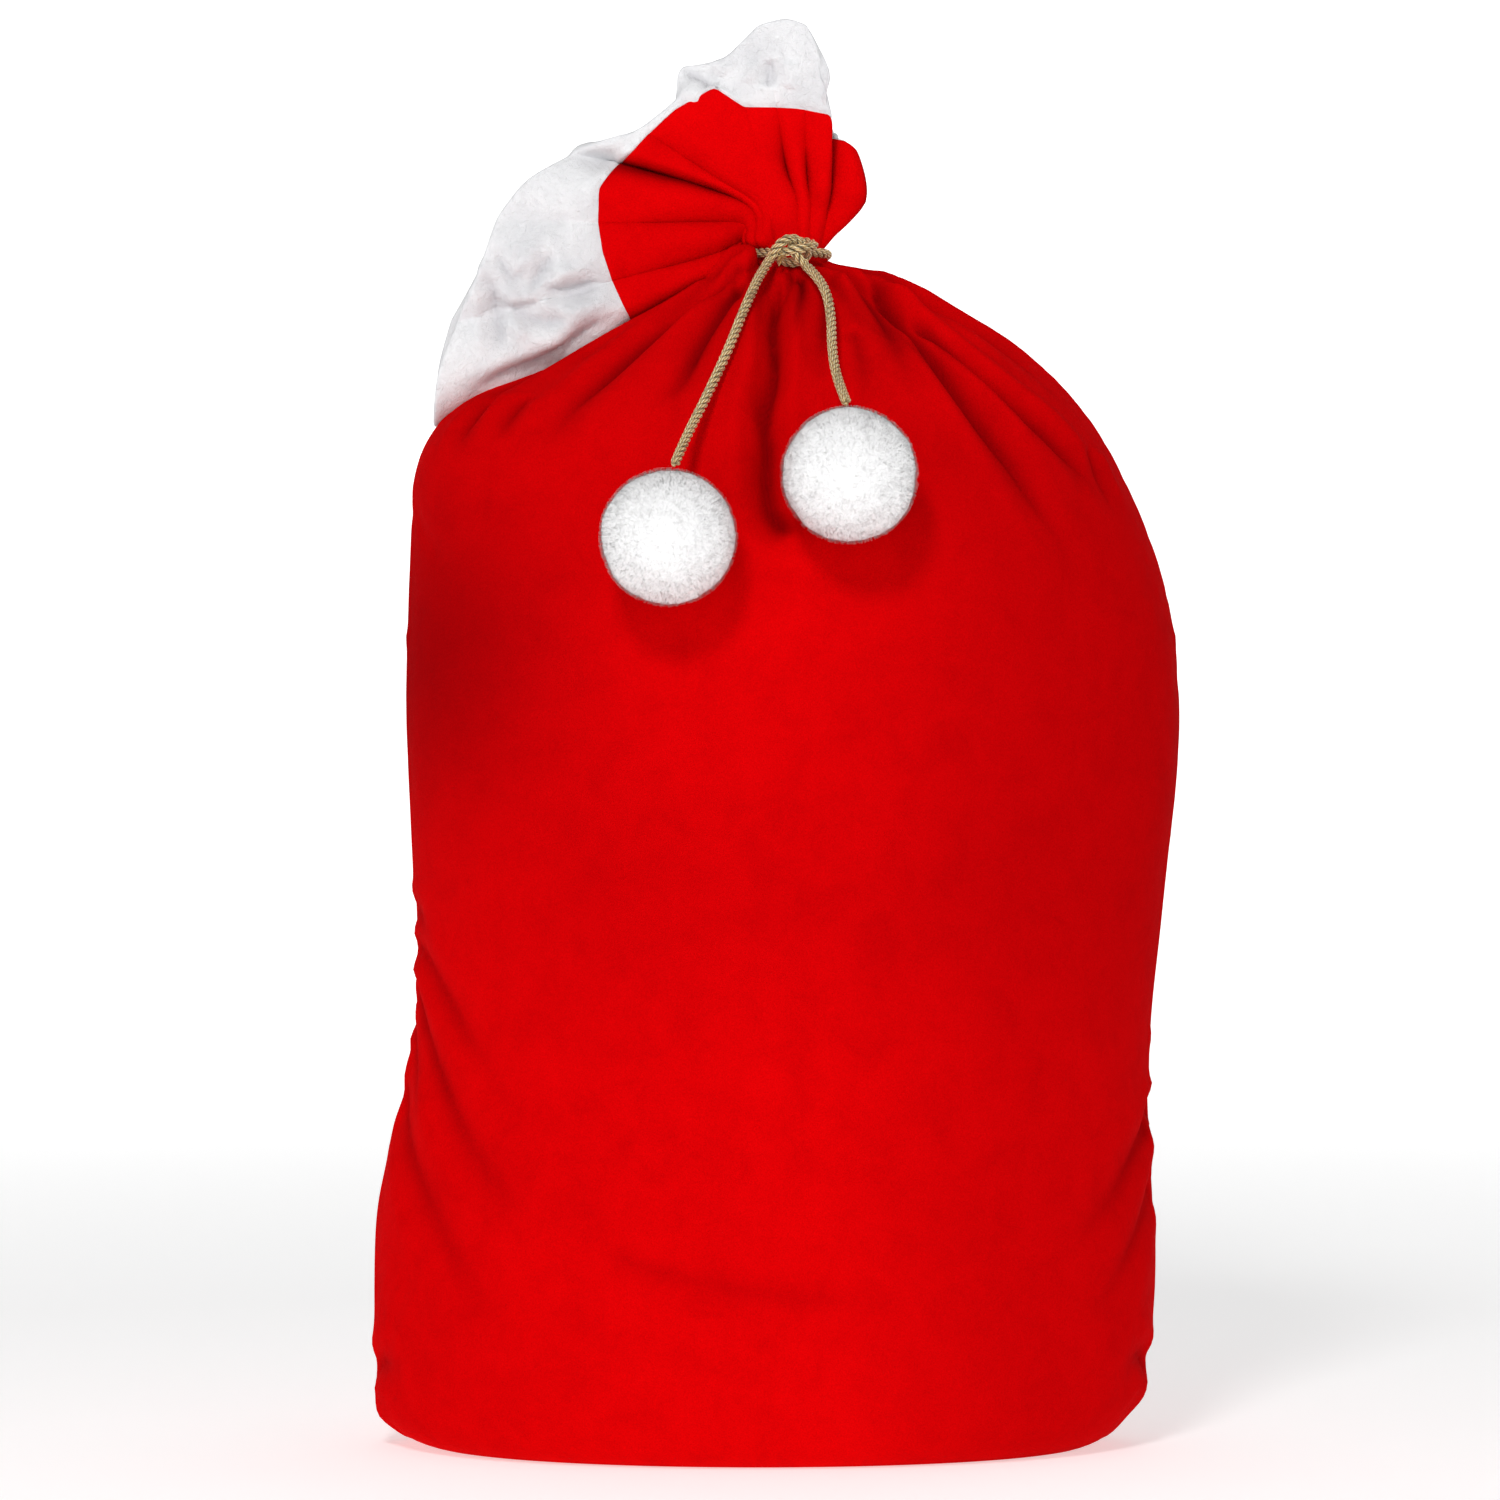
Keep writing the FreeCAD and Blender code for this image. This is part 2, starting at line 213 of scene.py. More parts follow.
class Paint:
    """A node material under construction, with one Principled shader."""

    def __init__(self, name, roughness, specular=0.5, **sockets):
        self.material = bpy.data.materials.new(name)
        self.material.use_nodes = True
        self.tree = self.material.node_tree
        self.shader = self.tree.nodes["Principled BSDF"]
        self.shader.inputs["Roughness"].default_value = roughness
        self.shader.inputs["Specular IOR Level"].default_value = specular
        for socket, value in sockets.items():
            self.shader.inputs[socket.replace("_", " ").title()].default_value = value
        self.place = self.add("ShaderNodeTexCoord").outputs["Object"]
        self.height = None

    def add(self, kind, inputs=None, **settings):
        node = self.tree.nodes.new(kind)
        for setting, value in settings.items():
            setattr(node, setting, value)
        for socket, value in (inputs or {}).items():
            self.give(node.inputs[socket], value)
        return node

    def give(self, socket, value):
        """Links a socket to another, or sets its value."""
        if isinstance(value, bpy.types.NodeSocket):
            self.tree.links.new(value, socket)
        else:
            socket.default_value = value

    def noise(self, scale, detail=3.0, rough=0.55, distortion=0.0):
        """A noise value; scale is in features per metre."""
        sockets = {"Scale": scale, "Detail": detail, "Roughness": rough, "Distortion": distortion}
        return self.add("ShaderNodeTexNoise", {"Vector": self.place, **sockets}).outputs["Fac"]

    def between(self, value, low, high, start, end):
        """A value stretched from low..high to start..end."""
        sockets = {"Value": value, "From Min": low, "From Max": high, "To Min": start, "To Max": end}
        return self.add("ShaderNodeMapRange", sockets, clamp=True).outputs["Result"]

    def mix(self, share, first, second, mode="MIX"):
        node = self.add("ShaderNodeMix", data_type="RGBA", blend_type=mode)
        for socket, value in ((0, share), (6, first), (7, second)):
            self.give(node.inputs[socket], value)
        return node.outputs[2]

    def ramp(self, value, stops):
        """A colour by value; stops are (position, colour)."""
        node = self.add("ShaderNodeValToRGB", {"Fac": value})
        ramp = node.color_ramp
        while len(ramp.elements) < len(stops):
            ramp.elements.new(0.5)
        for element, (position, colour) in zip(ramp.elements, stops):
            element.position = position
            element.color = colour
        return node.outputs["Color"]

    def shade(self, most):
        """How much painted shade darkens the piece here, up to most, from the shade kept with the mesh's
        points.
        """
        shade = self.add("ShaderNodeAttribute", attribute_name="shade").outputs["Fac"]
        return self.between(shade, 0.0, 1.0, 0.0, most)

    def feed(self, socket, value):
        self.tree.links.new(value, self.shader.inputs[socket])

    def colour(self, value):
        self.feed("Base Color", value)

    def bump(self, height, depth):
        """Adds bumps of a height value; depth is in metres from its lowest to its highest."""
        sockets = {"Height": height, "Distance": depth, "Strength": 1.0}
        if self.height:
            sockets["Normal"] = self.height
        self.height = self.add("ShaderNodeBump", sockets).outputs["Normal"]
        self.feed("Normal", self.height)


def rgb(red, green, blue):
    """A colour for a shader, from values of 0 to 255 as they look on a screen."""
    channels = []
    for value in (red / 255, green / 255, blue / 255):
        channels.append(value / 12.92 if value <= 0.04045 else ((value + 0.055) / 1.055) ** 2.4)
    return (*channels, 1.0)


def velvet(name, deep, mid, light):
    """Short-pile velvet: softly brushed patches in the nap, a fine pile, and a painted shade kept with its
    points.
    """
    paint = Paint(
        name, roughness=0.95, specular=0.01,
        sheen_weight=0.05, sheen_roughness=0.45, sheen_tint=light,
    )
    patches = paint.noise(4.0, detail=4.0, rough=0.5, distortion=0.3)
    brushed = paint.noise(42.0, detail=5.0, rough=0.65, distortion=0.5)
    pile = paint.noise(1100.0, detail=2.0)
    nap = paint.ramp(patches, ((0.28, deep), (0.50, mid), (0.75, light)))
    streaks = paint.ramp(brushed, ((0.30, deep), (0.50, mid), (0.72, light)))
    dark = paint.between(pile, 0.25, 0.6, 0.86, 1.0)
    grain = paint.add("ShaderNodeCombineColor", {0: dark, 1: dark, 2: dark}).outputs[0]
    cloth = paint.mix(1.0, paint.mix(0.45, nap, streaks), grain, "MULTIPLY")
    # painted shade: the colour goes towards a deep red as far as the mesh's points keep shade, in creases,
    # valleys and over parts of the sack
    paint.colour(paint.mix(paint.shade(0.85), cloth, rgb(112, 0, 4)))
    paint.bump(brushed, 0.0008)
    paint.bump(pile, 0.0004)
    return paint.material


def plush(name):
    """Brushed white plush: a soft pile in small tufts, with painted shade in the hollows of its bumps and
    along its creases.
    """
    paint = Paint(name, roughness=0.95, specular=0.05, sheen_weight=0.12, sheen_roughness=0.6)
    patches = paint.noise(30.0, detail=4.0, distortion=0.5)
    tufts = paint.noise(260.0, detail=4.0, rough=0.65, distortion=1.2)
    fibres = paint.noise(1500.0, detail=2.0)
    # the tones follow the same noise as the bumps: painted shade, greyer in the bumps' hollows
    shades = ((0.25, rgb(214, 214, 217)), (0.55, rgb(230, 230, 232)), (0.8, rgb(241, 241, 242)))
    # painted shade: greyer along the creases, from the shade kept with the mesh's points
    paint.colour(paint.mix(paint.shade(0.8), paint.ramp(patches, shades), rgb(186, 184, 189)))
    paint.bump(patches, 0.0025)
    paint.bump(tufts, 0.0012)
    paint.bump(fibres, 0.0004)
    return paint.material


def fluff(name):
    """The white yarn of the pom-poms."""
    paint = Paint(
        name, roughness=1.0, specular=0.0,
        subsurface_weight=1.0, subsurface_radius=(1, 1, 1), subsurface_scale=0.006,
    )
    strands = paint.noise(300.0)
    paint.colour(paint.ramp(strands, ((0.3, rgb(246, 245, 248)), (0.7, rgb(253, 253, 253)))))
    paint.bump(strands, 0.0006)
    paint.bump(paint.noise(1600.0), 0.0003)
    return paint.material


def gold_cord(name):
    """Twisted lustrous yarn: fine plies across each strand, painted glints, and painted shade in the grooves
    between strands.
    """
    paint = Paint(name, roughness=0.4, specular=0.6, metallic=0.45, sheen_weight=0.1)
    along = paint.add("ShaderNodeUVMap", uv_map="along").outputs["UV"]
    plies = paint.add(
        "ShaderNodeTexWave",
        {"Vector": along, "Scale": 1.0, "Distortion": 1.2, "Detail": 2.0, "Detail Scale": 2.0},
        wave_type="BANDS", bands_direction="DIAGONAL", wave_profile="SIN",
    ).outputs["Fac"]
    glints = paint.noise(1300.0, detail=3.0, rough=0.7)
    golds = ((0.0, rgb(178, 142, 88)), (0.45, rgb(224, 200, 146)), (1.0, rgb(250, 238, 202)))
    # painted glints: the colour is lighter where the yarn is glossier, with darker specks between
    painted_glints = paint.ramp(glints, ((0.35, rgb(150, 112, 66)), (0.7, rgb(253, 240, 204))))
    yarn = paint.mix(0.3, paint.ramp(plies, golds), painted_glints, "OVERLAY")
    # painted shade: dark brown in the grooves between the strands, from the shade kept with the rope's
    # points
    paint.colour(paint.mix(paint.shade(0.92), yarn, rgb(70, 42, 14)))
    paint.feed("Roughness", paint.between(glints, 0.3, 0.7, 0.55, 0.3))
    paint.bump(plies, 0.0005)
    paint.bump(glints, 0.0003)
    return paint.material


def thread(name, colour, shade):
    """Sewing thread: two twisted plies."""
    paint = Paint(name, roughness=0.6, specular=0.3)
    plies = paint.noise(2600.0, detail=2.0, distortion=1.0)
    paint.colour(paint.ramp(plies, ((0.3, shade), (0.7, colour))))
    paint.bump(plies, 0.0002)
    return paint.material


def fibre_fill(name):
    """Loose polyester filling."""
    paint = Paint(name, roughness=1.0, specular=0.1)
    clumps = paint.noise(60.0, detail=6.0, distortion=1.0)
    paint.colour(paint.ramp(clumps, ((0.3, rgb(214, 212, 208)), (0.7, rgb(244, 243, 240)))))
    paint.bump(clumps, 0.006)
    return paint.material


RED_DEEP = rgb(196, 0, 4)
RED_MID = rgb(216, 1, 4)
RED_LIGHT = rgb(228, 2, 6)
VELVET = velvet("velvet", RED_DEEP, RED_MID, RED_LIGHT)
PLUSH = plush("plush")
FLUFF = fluff("pompom_yarn")
GOLD = gold_cord("gold_cord")
RED_THREAD = thread("red_thread", rgb(190, 10, 16), rgb(130, 2, 6))
WHITE_THREAD = thread("white_thread", rgb(236, 234, 236), rgb(196, 194, 200))
FILL = fibre_fill("stuffing")


# ---- camera, light and floor


def make_camera():
    """Level with the middle of the sack, from far enough in front for the photograph's long lens."""
    camera = link(bpy.data.objects.new("camera", bpy.data.cameras.new("camera")))
    camera.location = (-0.015, -3.5, 0.417)
    camera.rotation_euler = (math.pi / 2, 0, 0)
    camera.data.lens = 140
    camera.data.clip_end = 40
    bpy.context.scene.camera = camera


def area_light(name, place, size, power):
    """A round lamp that shines at the middle of the sack."""
    light = link(bpy.data.objects.new(name, bpy.data.lights.new(name, "AREA")))
    light.location = place
    light.rotation_euler = (Vector((0, 0, 0.45)) - Vector(place)).to_track_quat("-Z", "Y").to_euler()
    light.data.shape = "DISK"
    light.data.size = size
    light.data.energy = power


def make_light():
    area_light("key", (-0.55, -2.8, 2.2), 0.6, 46)
    area_light("fill", (1.6, -2.8, 0.9), 2.0, 5)
    area_light("top", (0.2, 0.4, 2.8), 1.4, 9)
    world = bpy.data.worlds.new("studio")
    world.use_nodes = True
    sky = world.node_tree.nodes["Background"].inputs
    sky["Color"].default_value = (1, 1, 1, 1)
    sky["Strength"].default_value = 0.14
    bpy.context.scene.world = world
    bpy.context.scene.view_settings.view_transform = "Standard"


def make_floor():
    """A seamless pale floor, round in plan, that rises gently far away on every side."""
    radii = (0.01, 0.6, 1.5, 3, 6, 7.6, 8.6, 9)
    heights = (0, 0, 0, 0, 0, 0.4, 1.4, 2.8)
    turns = np.linspace(0, 2 * math.pi, 64, endpoint=False)
    points = [(r * math.cos(t), r * math.sin(t), h) for r, h in zip(radii, heights) for t in turns]
    faces = [face[::-1] for face in grid_faces(len(radii), len(turns), closed=True)]
    faces.append(range(len(turns)))
    paint = Paint("floor", roughness=0.9, specular=0.0)
    grain = paint.noise(60.0)
    paint.colour(paint.ramp(grain, ((0.3, (0.80, 0.80, 0.80, 1)), (0.7, (0.82, 0.82, 0.82, 1)))))
    paint.shader.inputs["Emission Color"].default_value = (1, 1, 1, 1)
    away = paint.add("ShaderNodeVectorMath", {0: paint.place}, operation="LENGTH").outputs["Value"]
    paint.feed("Emission Strength", paint.between(away, 1.0, 5.0, 0.50, 1.0))
    mesh_object("floor", points, faces, paint.material)


# ---- rope, knot and tails

# Centre lines of the cord's two tails, from the knot to the pom-poms, and of the knot between them.
LEFT_ROUTE = (
    (-3, -42, 708), (-9, -55, 698), (-14, -72, 686), (-20, -88, 671), (-26, -103, 654),
    (-34, -117, 635), (-42, -133, 617), (-51, -151, 598), (-58, -173, 580),
)
RIGHT_ROUTE = (
    (18, -44, 704), (25, -61, 696), (30.5, -80, 684), (32.5, -98, 668), (32.5, -115, 651.5),
    (34, -132, 637), (37, -151, 625), (40, -171, 615.5),
)
KNOT_ROUTE = (
    (-3, -42, 708), (0, -44, 714), (5, -45, 719), (11, -43, 720.5), (16, -39, 717),
    (20, -34, 712), (15, -30, 707), (7, -30, 707), (1, -34, 709), (3, -42, 711.5),
    (10, -47, 713), (18, -46, 714.5), (24, -40, 716), (19, -33, 719), (12, -34, 719),
    (9, -41, 716.5), (12, -46, 710), (18, -44, 704),
)
CORD_WIDTH = 6 * MM
STRANDS = 3
STRAND_SIDES = 10
STRAND_RADIUS = 0.23 * CORD_WIDTH
STRAND_PITCH = 13.5 * MM
WINDING = 0.27 * CORD_WIDTH  # how far each strand's middle is from the rope's
PLY_PITCH = 2.4 * MM
GROOVE = 0.31 * CORD_WIDTH  # from the rope's middle to the floor of a groove
CREST = 0.48 * CORD_WIDTH  # and to the crest of a strand
TACK_STITCHES = 3


def spline_line(name, route):
    """The smooth NURBS line whose control points are the route's, as closely spaced points."""
    curve = bpy.data.curves.new(name, "CURVE")
    curve.dimensions = "3D"
    curve.resolution_u = 16
    spline = curve.splines.new("NURBS")
    spline.points.add(len(route) - 1)
    for point, place in zip(spline.points, route):
        point.co = (*(Vector(place) * MM), 1)
    spline.order_u = 3
    spline.use_endpoint_u = True
    holder = link(bpy.data.objects.new(name, curve))
    mesh = bpy.data.meshes.new_from_object(holder)
    line = np.array([vertex.co[:] for vertex in mesh.vertices])
    bpy.data.objects.remove(holder)
    bpy.data.curves.remove(curve)
    bpy.data.meshes.remove(mesh)
    return line


def frames_along(line):
    """Two directions across a line at each point, carried along it without twist."""
    tangents = unit(np.gradient(line, axis=0))
    side = np.cross(tangents[0], (0, 0, 1) if abs(tangents[0][2]) < 0.9 else (1, 0, 0))
    sides = []
    for tangent in tangents:
        side = side - tangent * (side @ tangent)
        side = side / np.linalg.norm(side)
        sides.append(side)
    sides = np.array(sides)
    return sides, np.cross(tangents, sides)


def tube(line, radius, sides=8):
    """Rings of points round a line, closed to a point at both ends, and their faces and coordinates."""
    across, over = frames_along(line)
    along = lengths_along(line)
    turns = np.linspace(0, 2 * math.pi, sides, endpoint=False)
    close = np.minimum(along, along[-1] - along) / (1.5 * radius)
    width = radius * np.sqrt(np.clip(1 - (1 - np.clip(close, 0, 1)) ** 2, 0.02, 1))
    ring = (
        across[:, None, :] * np.cos(turns)[None, :, None] + over[:, None, :] * np.sin(turns)[None, :, None]
    ) * width[:, None, None]
    points = (line[:, None, :] + ring).reshape(-1, 3)
    round_share = (turns / (2 * math.pi))[None, :]
    places = np.stack(np.broadcast_arrays(along[:, None], round_share), axis=-1).reshape(-1, 2)
    return points, grid_faces(len(line), sides, closed=True), places


def joined(tubes):
    """The points and faces of several tubes, as one mesh."""
    faces, offset = [], 0
    for points, quads, _ in tubes:
        faces += [tuple(index + offset for index in quad) for quad in quads]
        offset += len(points)
    return np.concatenate([points for points, _, _ in tubes]), faces


def rope(name, line):
    """A laid rope along a line: strands that wind round each other, each of twisted plies."""
    line = evenly(line, 0.8 * MM)
    across, over = frames_along(line)
    along = lengths_along(line)
    from_end = np.repeat(np.minimum(along, along[-1] - along), STRAND_SIDES)
    tubes, shades = [], []
    for strand in range(STRANDS):
        turn = 2 * math.pi * (along / STRAND_PITCH + strand / STRANDS)
        winding = across * np.cos(turn)[:, None] + over * np.sin(turn)[:, None]
        tubes.append(tube(line + WINDING * winding, STRAND_RADIUS, STRAND_SIDES))
        out = np.linalg.norm(tubes[-1][0] - np.repeat(line, STRAND_SIDES, axis=0), axis=1)
        # painted shade: dark in the grooves between the strands, fading out near the rope's ends
        hollow = 1 - smoothstep(GROOVE, CREST, out)
        shades.append(hollow * smoothstep(0, CORD_WIDTH, from_end))
    item = mesh_object(name, *joined(tubes), GOLD)
    keep_shade(item, np.concatenate(shades))
    places = np.concatenate([place for _, _, place in tubes])
    layer = item.data.uv_layers.new(name="along")
    loops = np.zeros(len(item.data.loops), int)
    item.data.loops.foreach_get("vertex_index", loops)
    plies_along, plies_round = 1 / (PLY_PITCH * 2), 3
    layer.data.foreach_set("uv", (places[loops] * (plies_along, plies_round)).ravel())
    return item


def make_neck_cord():
    """The cord round the neck: from one side of the knot, round the back, to the other."""
    low, high = (np.array(corner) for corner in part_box("neck_cord"))
    centre = (low + high) / 2
    radius = (high[0] - low[0] - CORD_WIDTH) / 2
    hidden = math.radians(14)
    turns = np.linspace(-math.pi / 2 + hidden, 1.5 * math.pi - hidden, 90)
    ring = centre + radius * np.stack([np.cos(turns), np.sin(turns), np.zeros_like(turns)], axis=1)
    settle(rope("neck_cord_rope", ring), "sack", "gold_cord", "neck_cord")


def make_knot():
    """The knot: the cord's run from one tail over, behind and across to the other, and frayed ends."""
    knot = rope("cord_knot_rope", spline_line("knot_line", KNOT_ROUTE))
    settle(knot, "sack", "gold_cord", "cord_knot")
    frays = []
    for start in ((-1, -40, 712), (1, -41, 710), (3, -42, 712.5), (4, -42, 709), (6, -43, 711)):
        droop = RANDOM.uniform((-5, -3, -8), (3, 0, -4))
        bend = RANDOM.uniform((-2, -3, -2), (2, 0, 1))
        route = through([start, np.add(start, droop * 0.5 + bend), np.add(start, droop)], 14) * MM
        frays.append(tube(route, 0.45 * MM, sides=6))
    settle(mesh_object("cord_knot_frayed_ends", *joined(frays), GOLD), "sack", "gold_cord")


def make_tack():
    """A few stitches over the cord at the back of the neck."""
    low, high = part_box("cord_tack")
    cord_low, cord_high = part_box("neck_cord")
    middle_y = cord_high[1] - CORD_WIDTH / 2
    middle_z = (cord_low[2] + cord_high[2]) / 2
    reach = CORD_WIDTH / 2 + 0.6 * MM
    turns = np.linspace(-0.8 * math.pi, 0.8 * math.pi, 30)
    lean = np.linspace(-0.6, 0.6, len(turns)) * MM
    loops = []
    for stitch in range(TACK_STITCHES):
        x = low[0] + (stitch + 0.5) * (high[0] - low[0]) / TACK_STITCHES
        loop = (x + lean, middle_y + reach * np.cos(turns), middle_z + reach * np.sin(turns))
        loops.append(tube(np.stack(loop, axis=1), 0.6 * MM))
    tack = mesh_object("neck_tack_stitches", *joined(loops), RED_THREAD)
    settle(tack, "sack", "tack_thread", "cord_tack")


# ---- pom-poms

TUFTS = 1600
FIBRES_PER_TUFT = 10
FIBRE_LENGTH = 1.7  # mm, the mean of the tufts
FIBRE_SPREAD = 0.035  # how far apart the fibres of a tuft stand, as a share of the radius
FIBRE_LEAN = 0.22  # how far the tufts, and the fibres in them, lean over
FIBRE_SIDES = 3
BALL_SHARE = 0.945  # the yarn ball's radius, as a share of the pom-pom's
TIE_RADIUS = 7.2 * MM
TIE_TURNS = 9


def sphere_directions(count):
    """Directions spread evenly over a sphere."""
    index = np.arange(count) + 0.5
    height = 1 - 2 * index / count
    turn = math.pi * (1 + 5**0.5) * index
    level = np.sqrt(1 - height**2)
    return np.stack([level * np.cos(turn), level * np.sin(turn), height], axis=1)


def pompom_fibres(centre, radius, ball, rng):
    """Tapering fibres in tufts that stand on the ball: points, the way out under each, and faces."""
    surface = BVHTree.FromObject(ball, bpy.context.evaluated_depsgraph_get())
    tuft_of = np.repeat(np.arange(TUFTS), FIBRES_PER_TUFT)
    count = len(tuft_of)
    spread = sphere_directions(TUFTS)[tuft_of] + rng.normal(0, FIBRE_SPREAD, (count, 3))
    found = [surface.find_nearest(Vector(centre + radius * way)) for way in unit(spread)]
    foot = np.array([hit[0] for hit in found])
    outward = np.array([hit[1] for hit in found])
    tuft_lean = rng.normal(0, FIBRE_LEAN, (TUFTS, 3))[tuft_of]
    lean = unit(outward + tuft_lean + rng.normal(0, FIBRE_LEAN, (count, 3)))
    length = rng.normal(FIBRE_LENGTH, 0.8, TUFTS)[tuft_of] + rng.normal(0, 0.5, count)
    length = np.clip(length, 0.5, 4.5)[:, None] * MM
    side = unit(np.cross(outward, rng.normal(0, 1, (count, 3))))
    over = np.cross(outward, side)
    stations = (
        (foot - 0.6 * MM * outward, 0.07), (foot + 0.55 * length * unit(outward + lean), 0.055),
        (foot + length * lean, 0.02),
    )
    points = []
    for middle, thickness in stations:
        for corner in range(FIBRE_SIDES):
            turn = 2 * math.pi * corner / FIBRE_SIDES
            points.append(middle + thickness * MM * (side * math.cos(turn) + over * math.sin(turn)))
    per_fibre = len(points)
    points = np.stack(points, axis=1).reshape(-1, 3)
    far = np.linalg.norm(points - centre, axis=1, keepdims=True)
    points = centre + (points - centre) * np.minimum(1, 0.998 * radius / far)
    ring = np.array(grid_faces(len(stations), FIBRE_SIDES, closed=True))
    faces = (ring[None] + (per_fibre * np.arange(count))[:, None, None]).reshape(-1, 4)
    return points, np.repeat(outward, per_fibre, axis=0), faces


def make_pompom(side, seed):
    """A pom-pom: a dense uneven ball of yarn ends, fibres standing from it, and the tie in its middle."""
    node = f"{side}_pompom"
    low, high = (np.array(corner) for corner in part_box(node))
    centre, radius = (low + high) / 2, (high[0] - low[0]) / 2
    rng = np.random.default_rng(seed)

    bpy.ops.mesh.primitive_ico_sphere_add(subdivisions=6, radius=1, location=(0, 0, 0))
    ball = bpy.context.object
    ball.name = f"{node}_ball"
    directions = unit(points_of(ball))
    clumps = noise_at(directions, 2.2, seed) * 0.022 + noise_at(directions, 6.0, seed + 3) * 0.012
    lumps = noise_at(directions, 15.0, seed + 7) * 0.007 + noise_at(directions, 40.0, seed + 9) * 0.005
    move_points(ball, centre + directions * (radius * (BALL_SHARE + clumps + lumps))[:, None])
    ball.data.materials.append(FLUFF)
    ball.data.shade_smooth()

    points, ways, faces = pompom_fibres(centre, radius, ball, rng)
    fibres = mesh_object(f"{node}_fibres", points, faces, FLUFF)
    fibres.data.normals_split_custom_set_from_vertices(ways)

    turns = np.linspace(0, 2 * math.pi * TIE_TURNS, 260)
    tilt = np.linspace(0, math.pi, len(turns))
    wound = TIE_RADIUS * np.stack(
        [np.cos(turns) * np.cos(tilt), np.cos(turns) * np.sin(tilt), np.sin(turns)], axis=1
    )
    tie = mesh_object(f"{node}_tie_thread", *joined([tube(centre + wound, 0.9 * MM)]), WHITE_THREAD)

    settle(ball, node, "pompom_pile", node)
    settle(fibres, node, "pompom_pile")
    settle(tie, node, "tie_thread", f"{node}_tie")
    return [ball, fibres, tie]


def make_tail(side, route, seed):
    """One tail of the cord and the pom-pom on its end."""
    line = spline_line(f"{side}_tail_line", route)
    pompom = make_pompom(side, seed)
    tail = rope(f"{side}_tail_rope", line)
    settle(tail, f"{side}_tail", "gold_cord", f"{side}_tail_cord")


# ---- folds


def carve(points, shade, rest, normals, line, depth, widths, lip=0.35, fade=(0.0, 0.5)):
    """Presses a fold's valley into a surface along a line, with a raised lip on either side.

    Distances are measured on the surface as it was at rest, so that folds do not disturb each other.
    The valley's width goes from the first to the second of widths; fade gives the shares of the line
    over which it deepens at its start and after which it runs out. Shade keeps the painted shade of
    each point, darkest along the valley, from 0 to 1.
    """
    reach = 6 * max(widths)
    near = np.flatnonzero(np.all((rest > line.min(0) - reach) & (rest < line.max(0) + reach), axis=1))
    distance = np.linalg.norm(rest[near][:, None, :] - line[None], axis=2)
    nearest = distance.argmin(1)
    away = distance[np.arange(len(near)), nearest]
    share = nearest / (len(line) - 1)
    width = widths[0] + (widths[1] - widths[0]) * share
    strength = 1 - smoothstep(fade[1], 1, share)
    if fade[0]:
        strength = strength * smoothstep(0, fade[0], share)
    valley = 0.65 * np.exp(-((away / width) ** 1.2)) + 0.35 * np.exp(-((away / (2.6 * width)) ** 2))
    ridge = np.exp(-(((away / width - 4.0) / 1.7) ** 2))
    points[near] += normals[near] * (depth * strength * (lip * ridge - valley))[:, None]
    # painted shade along the fold's valley
    dark = strength * min(1, depth / (8 * MM)) * np.exp(-((away / (1.15 * width)) ** 1.6))
    shade[near] = np.maximum(shade[near], dark)


# ---- the stuffed sack

SIDE_COLUMNS = 126
WALL_ROWS = 128
SHOULDER = 0.50  # from this height up the rows lie closer together
FLOOR_ROWS = 14

# Folds that run down from the neck in front: bearing (degrees, right of straight ahead) and height
# of each point, depth, width at the neck and at the far end, and the share of the fold's length
# after which it runs out.
FRONT_FOLDS = (
    (((-21, 700), (-8, 654), (-3, 623), (0, 596), (-1, 558), (2, 540)), 14, (2.8, 5.5), 0.9),
    (((-39, 692), (-33, 676), (-28, 654), (-23, 632), (-22, 612)), 9, (2.8, 5), 0.5),
    (((-44, 694), (-47, 676), (-48, 660), (-44, 634), (-40, 612), (-37, 590)), 9, (2.8, 6), 0.45),
    (((-66, 694), (-72, 680), (-78, 664), (-78, 645), (-74, 625), (-66, 604)), 8, (2.8, 6), 0.5),
    (((-72, 624), (-65, 608), (-61, 590)), 5, (3, 5), 0.3),
    (((-58, 624), (-54, 611), (-50, 598)), 4, (3, 5), 0.3),
    (((33, 701), (27, 686), (25, 668), (25, 650), (27, 616)), 9, (2.8, 7), 0.45),
    (((45, 702), (36, 684), (33, 662), (35, 640), (39, 615), (43, 586), (45, 557), (51, 510)),
     12, (2.8, 4.5), 0.6),
    (((36, 676), (41, 652), (48, 628), (56, 605), (60, 586), (63, 562)), 10, (2.8, 4.5), 0.6),
    (((50, 703), (60, 690), (68, 672), (70, 648), (73, 612)), 7, (3, 6), 0.4),
    (((69, 596), (67, 575), (66, 550)), 5, (3, 5), 0.3),
    (((-6, 703), (-5, 690), (-4, 668), (-3, 645)), 8, (2.5, 4), 0.3),
    (((8, 702), (6, 680), (5, 655), (7, 618)), 7, (2.8, 6), 0.4),
    (((13, 664), (15, 638), (17, 610)), 4, (3.5, 6), 0.3),
)
BACK_FOLDS = (
    (((100, 698), (106, 668), (104, 620), (98, 560)), 7, (3.5, 10), 0.45),
    (((122, 700), (126, 668), (131, 610), (136, 545)), 8, (3.5, 10), 0.45),
    (((143, 698), (146, 665), (148, 625)), 5, (3.5, 8), 0.45),
    (((162, 700), (158, 660), (163, 600), (166, 530)), 8, (3.5, 10), 0.45),
    (((180, 698), (184, 660), (182, 615)), 6, (3.5, 8), 0.45),
    (((203, 700), (199, 662), (205, 600), (203, 520)), 8, (3.5, 10), 0.45),
    (((222, 698), (226, 665), (224, 620)), 5, (3.5, 8), 0.45),
    (((241, 698), (238, 662), (231, 605), (226, 550)), 7, (3.5, 10), 0.45),
    (((261, 698), (256, 668), (258, 625), (262, 580)), 6, (3.5, 9), 0.45),
)
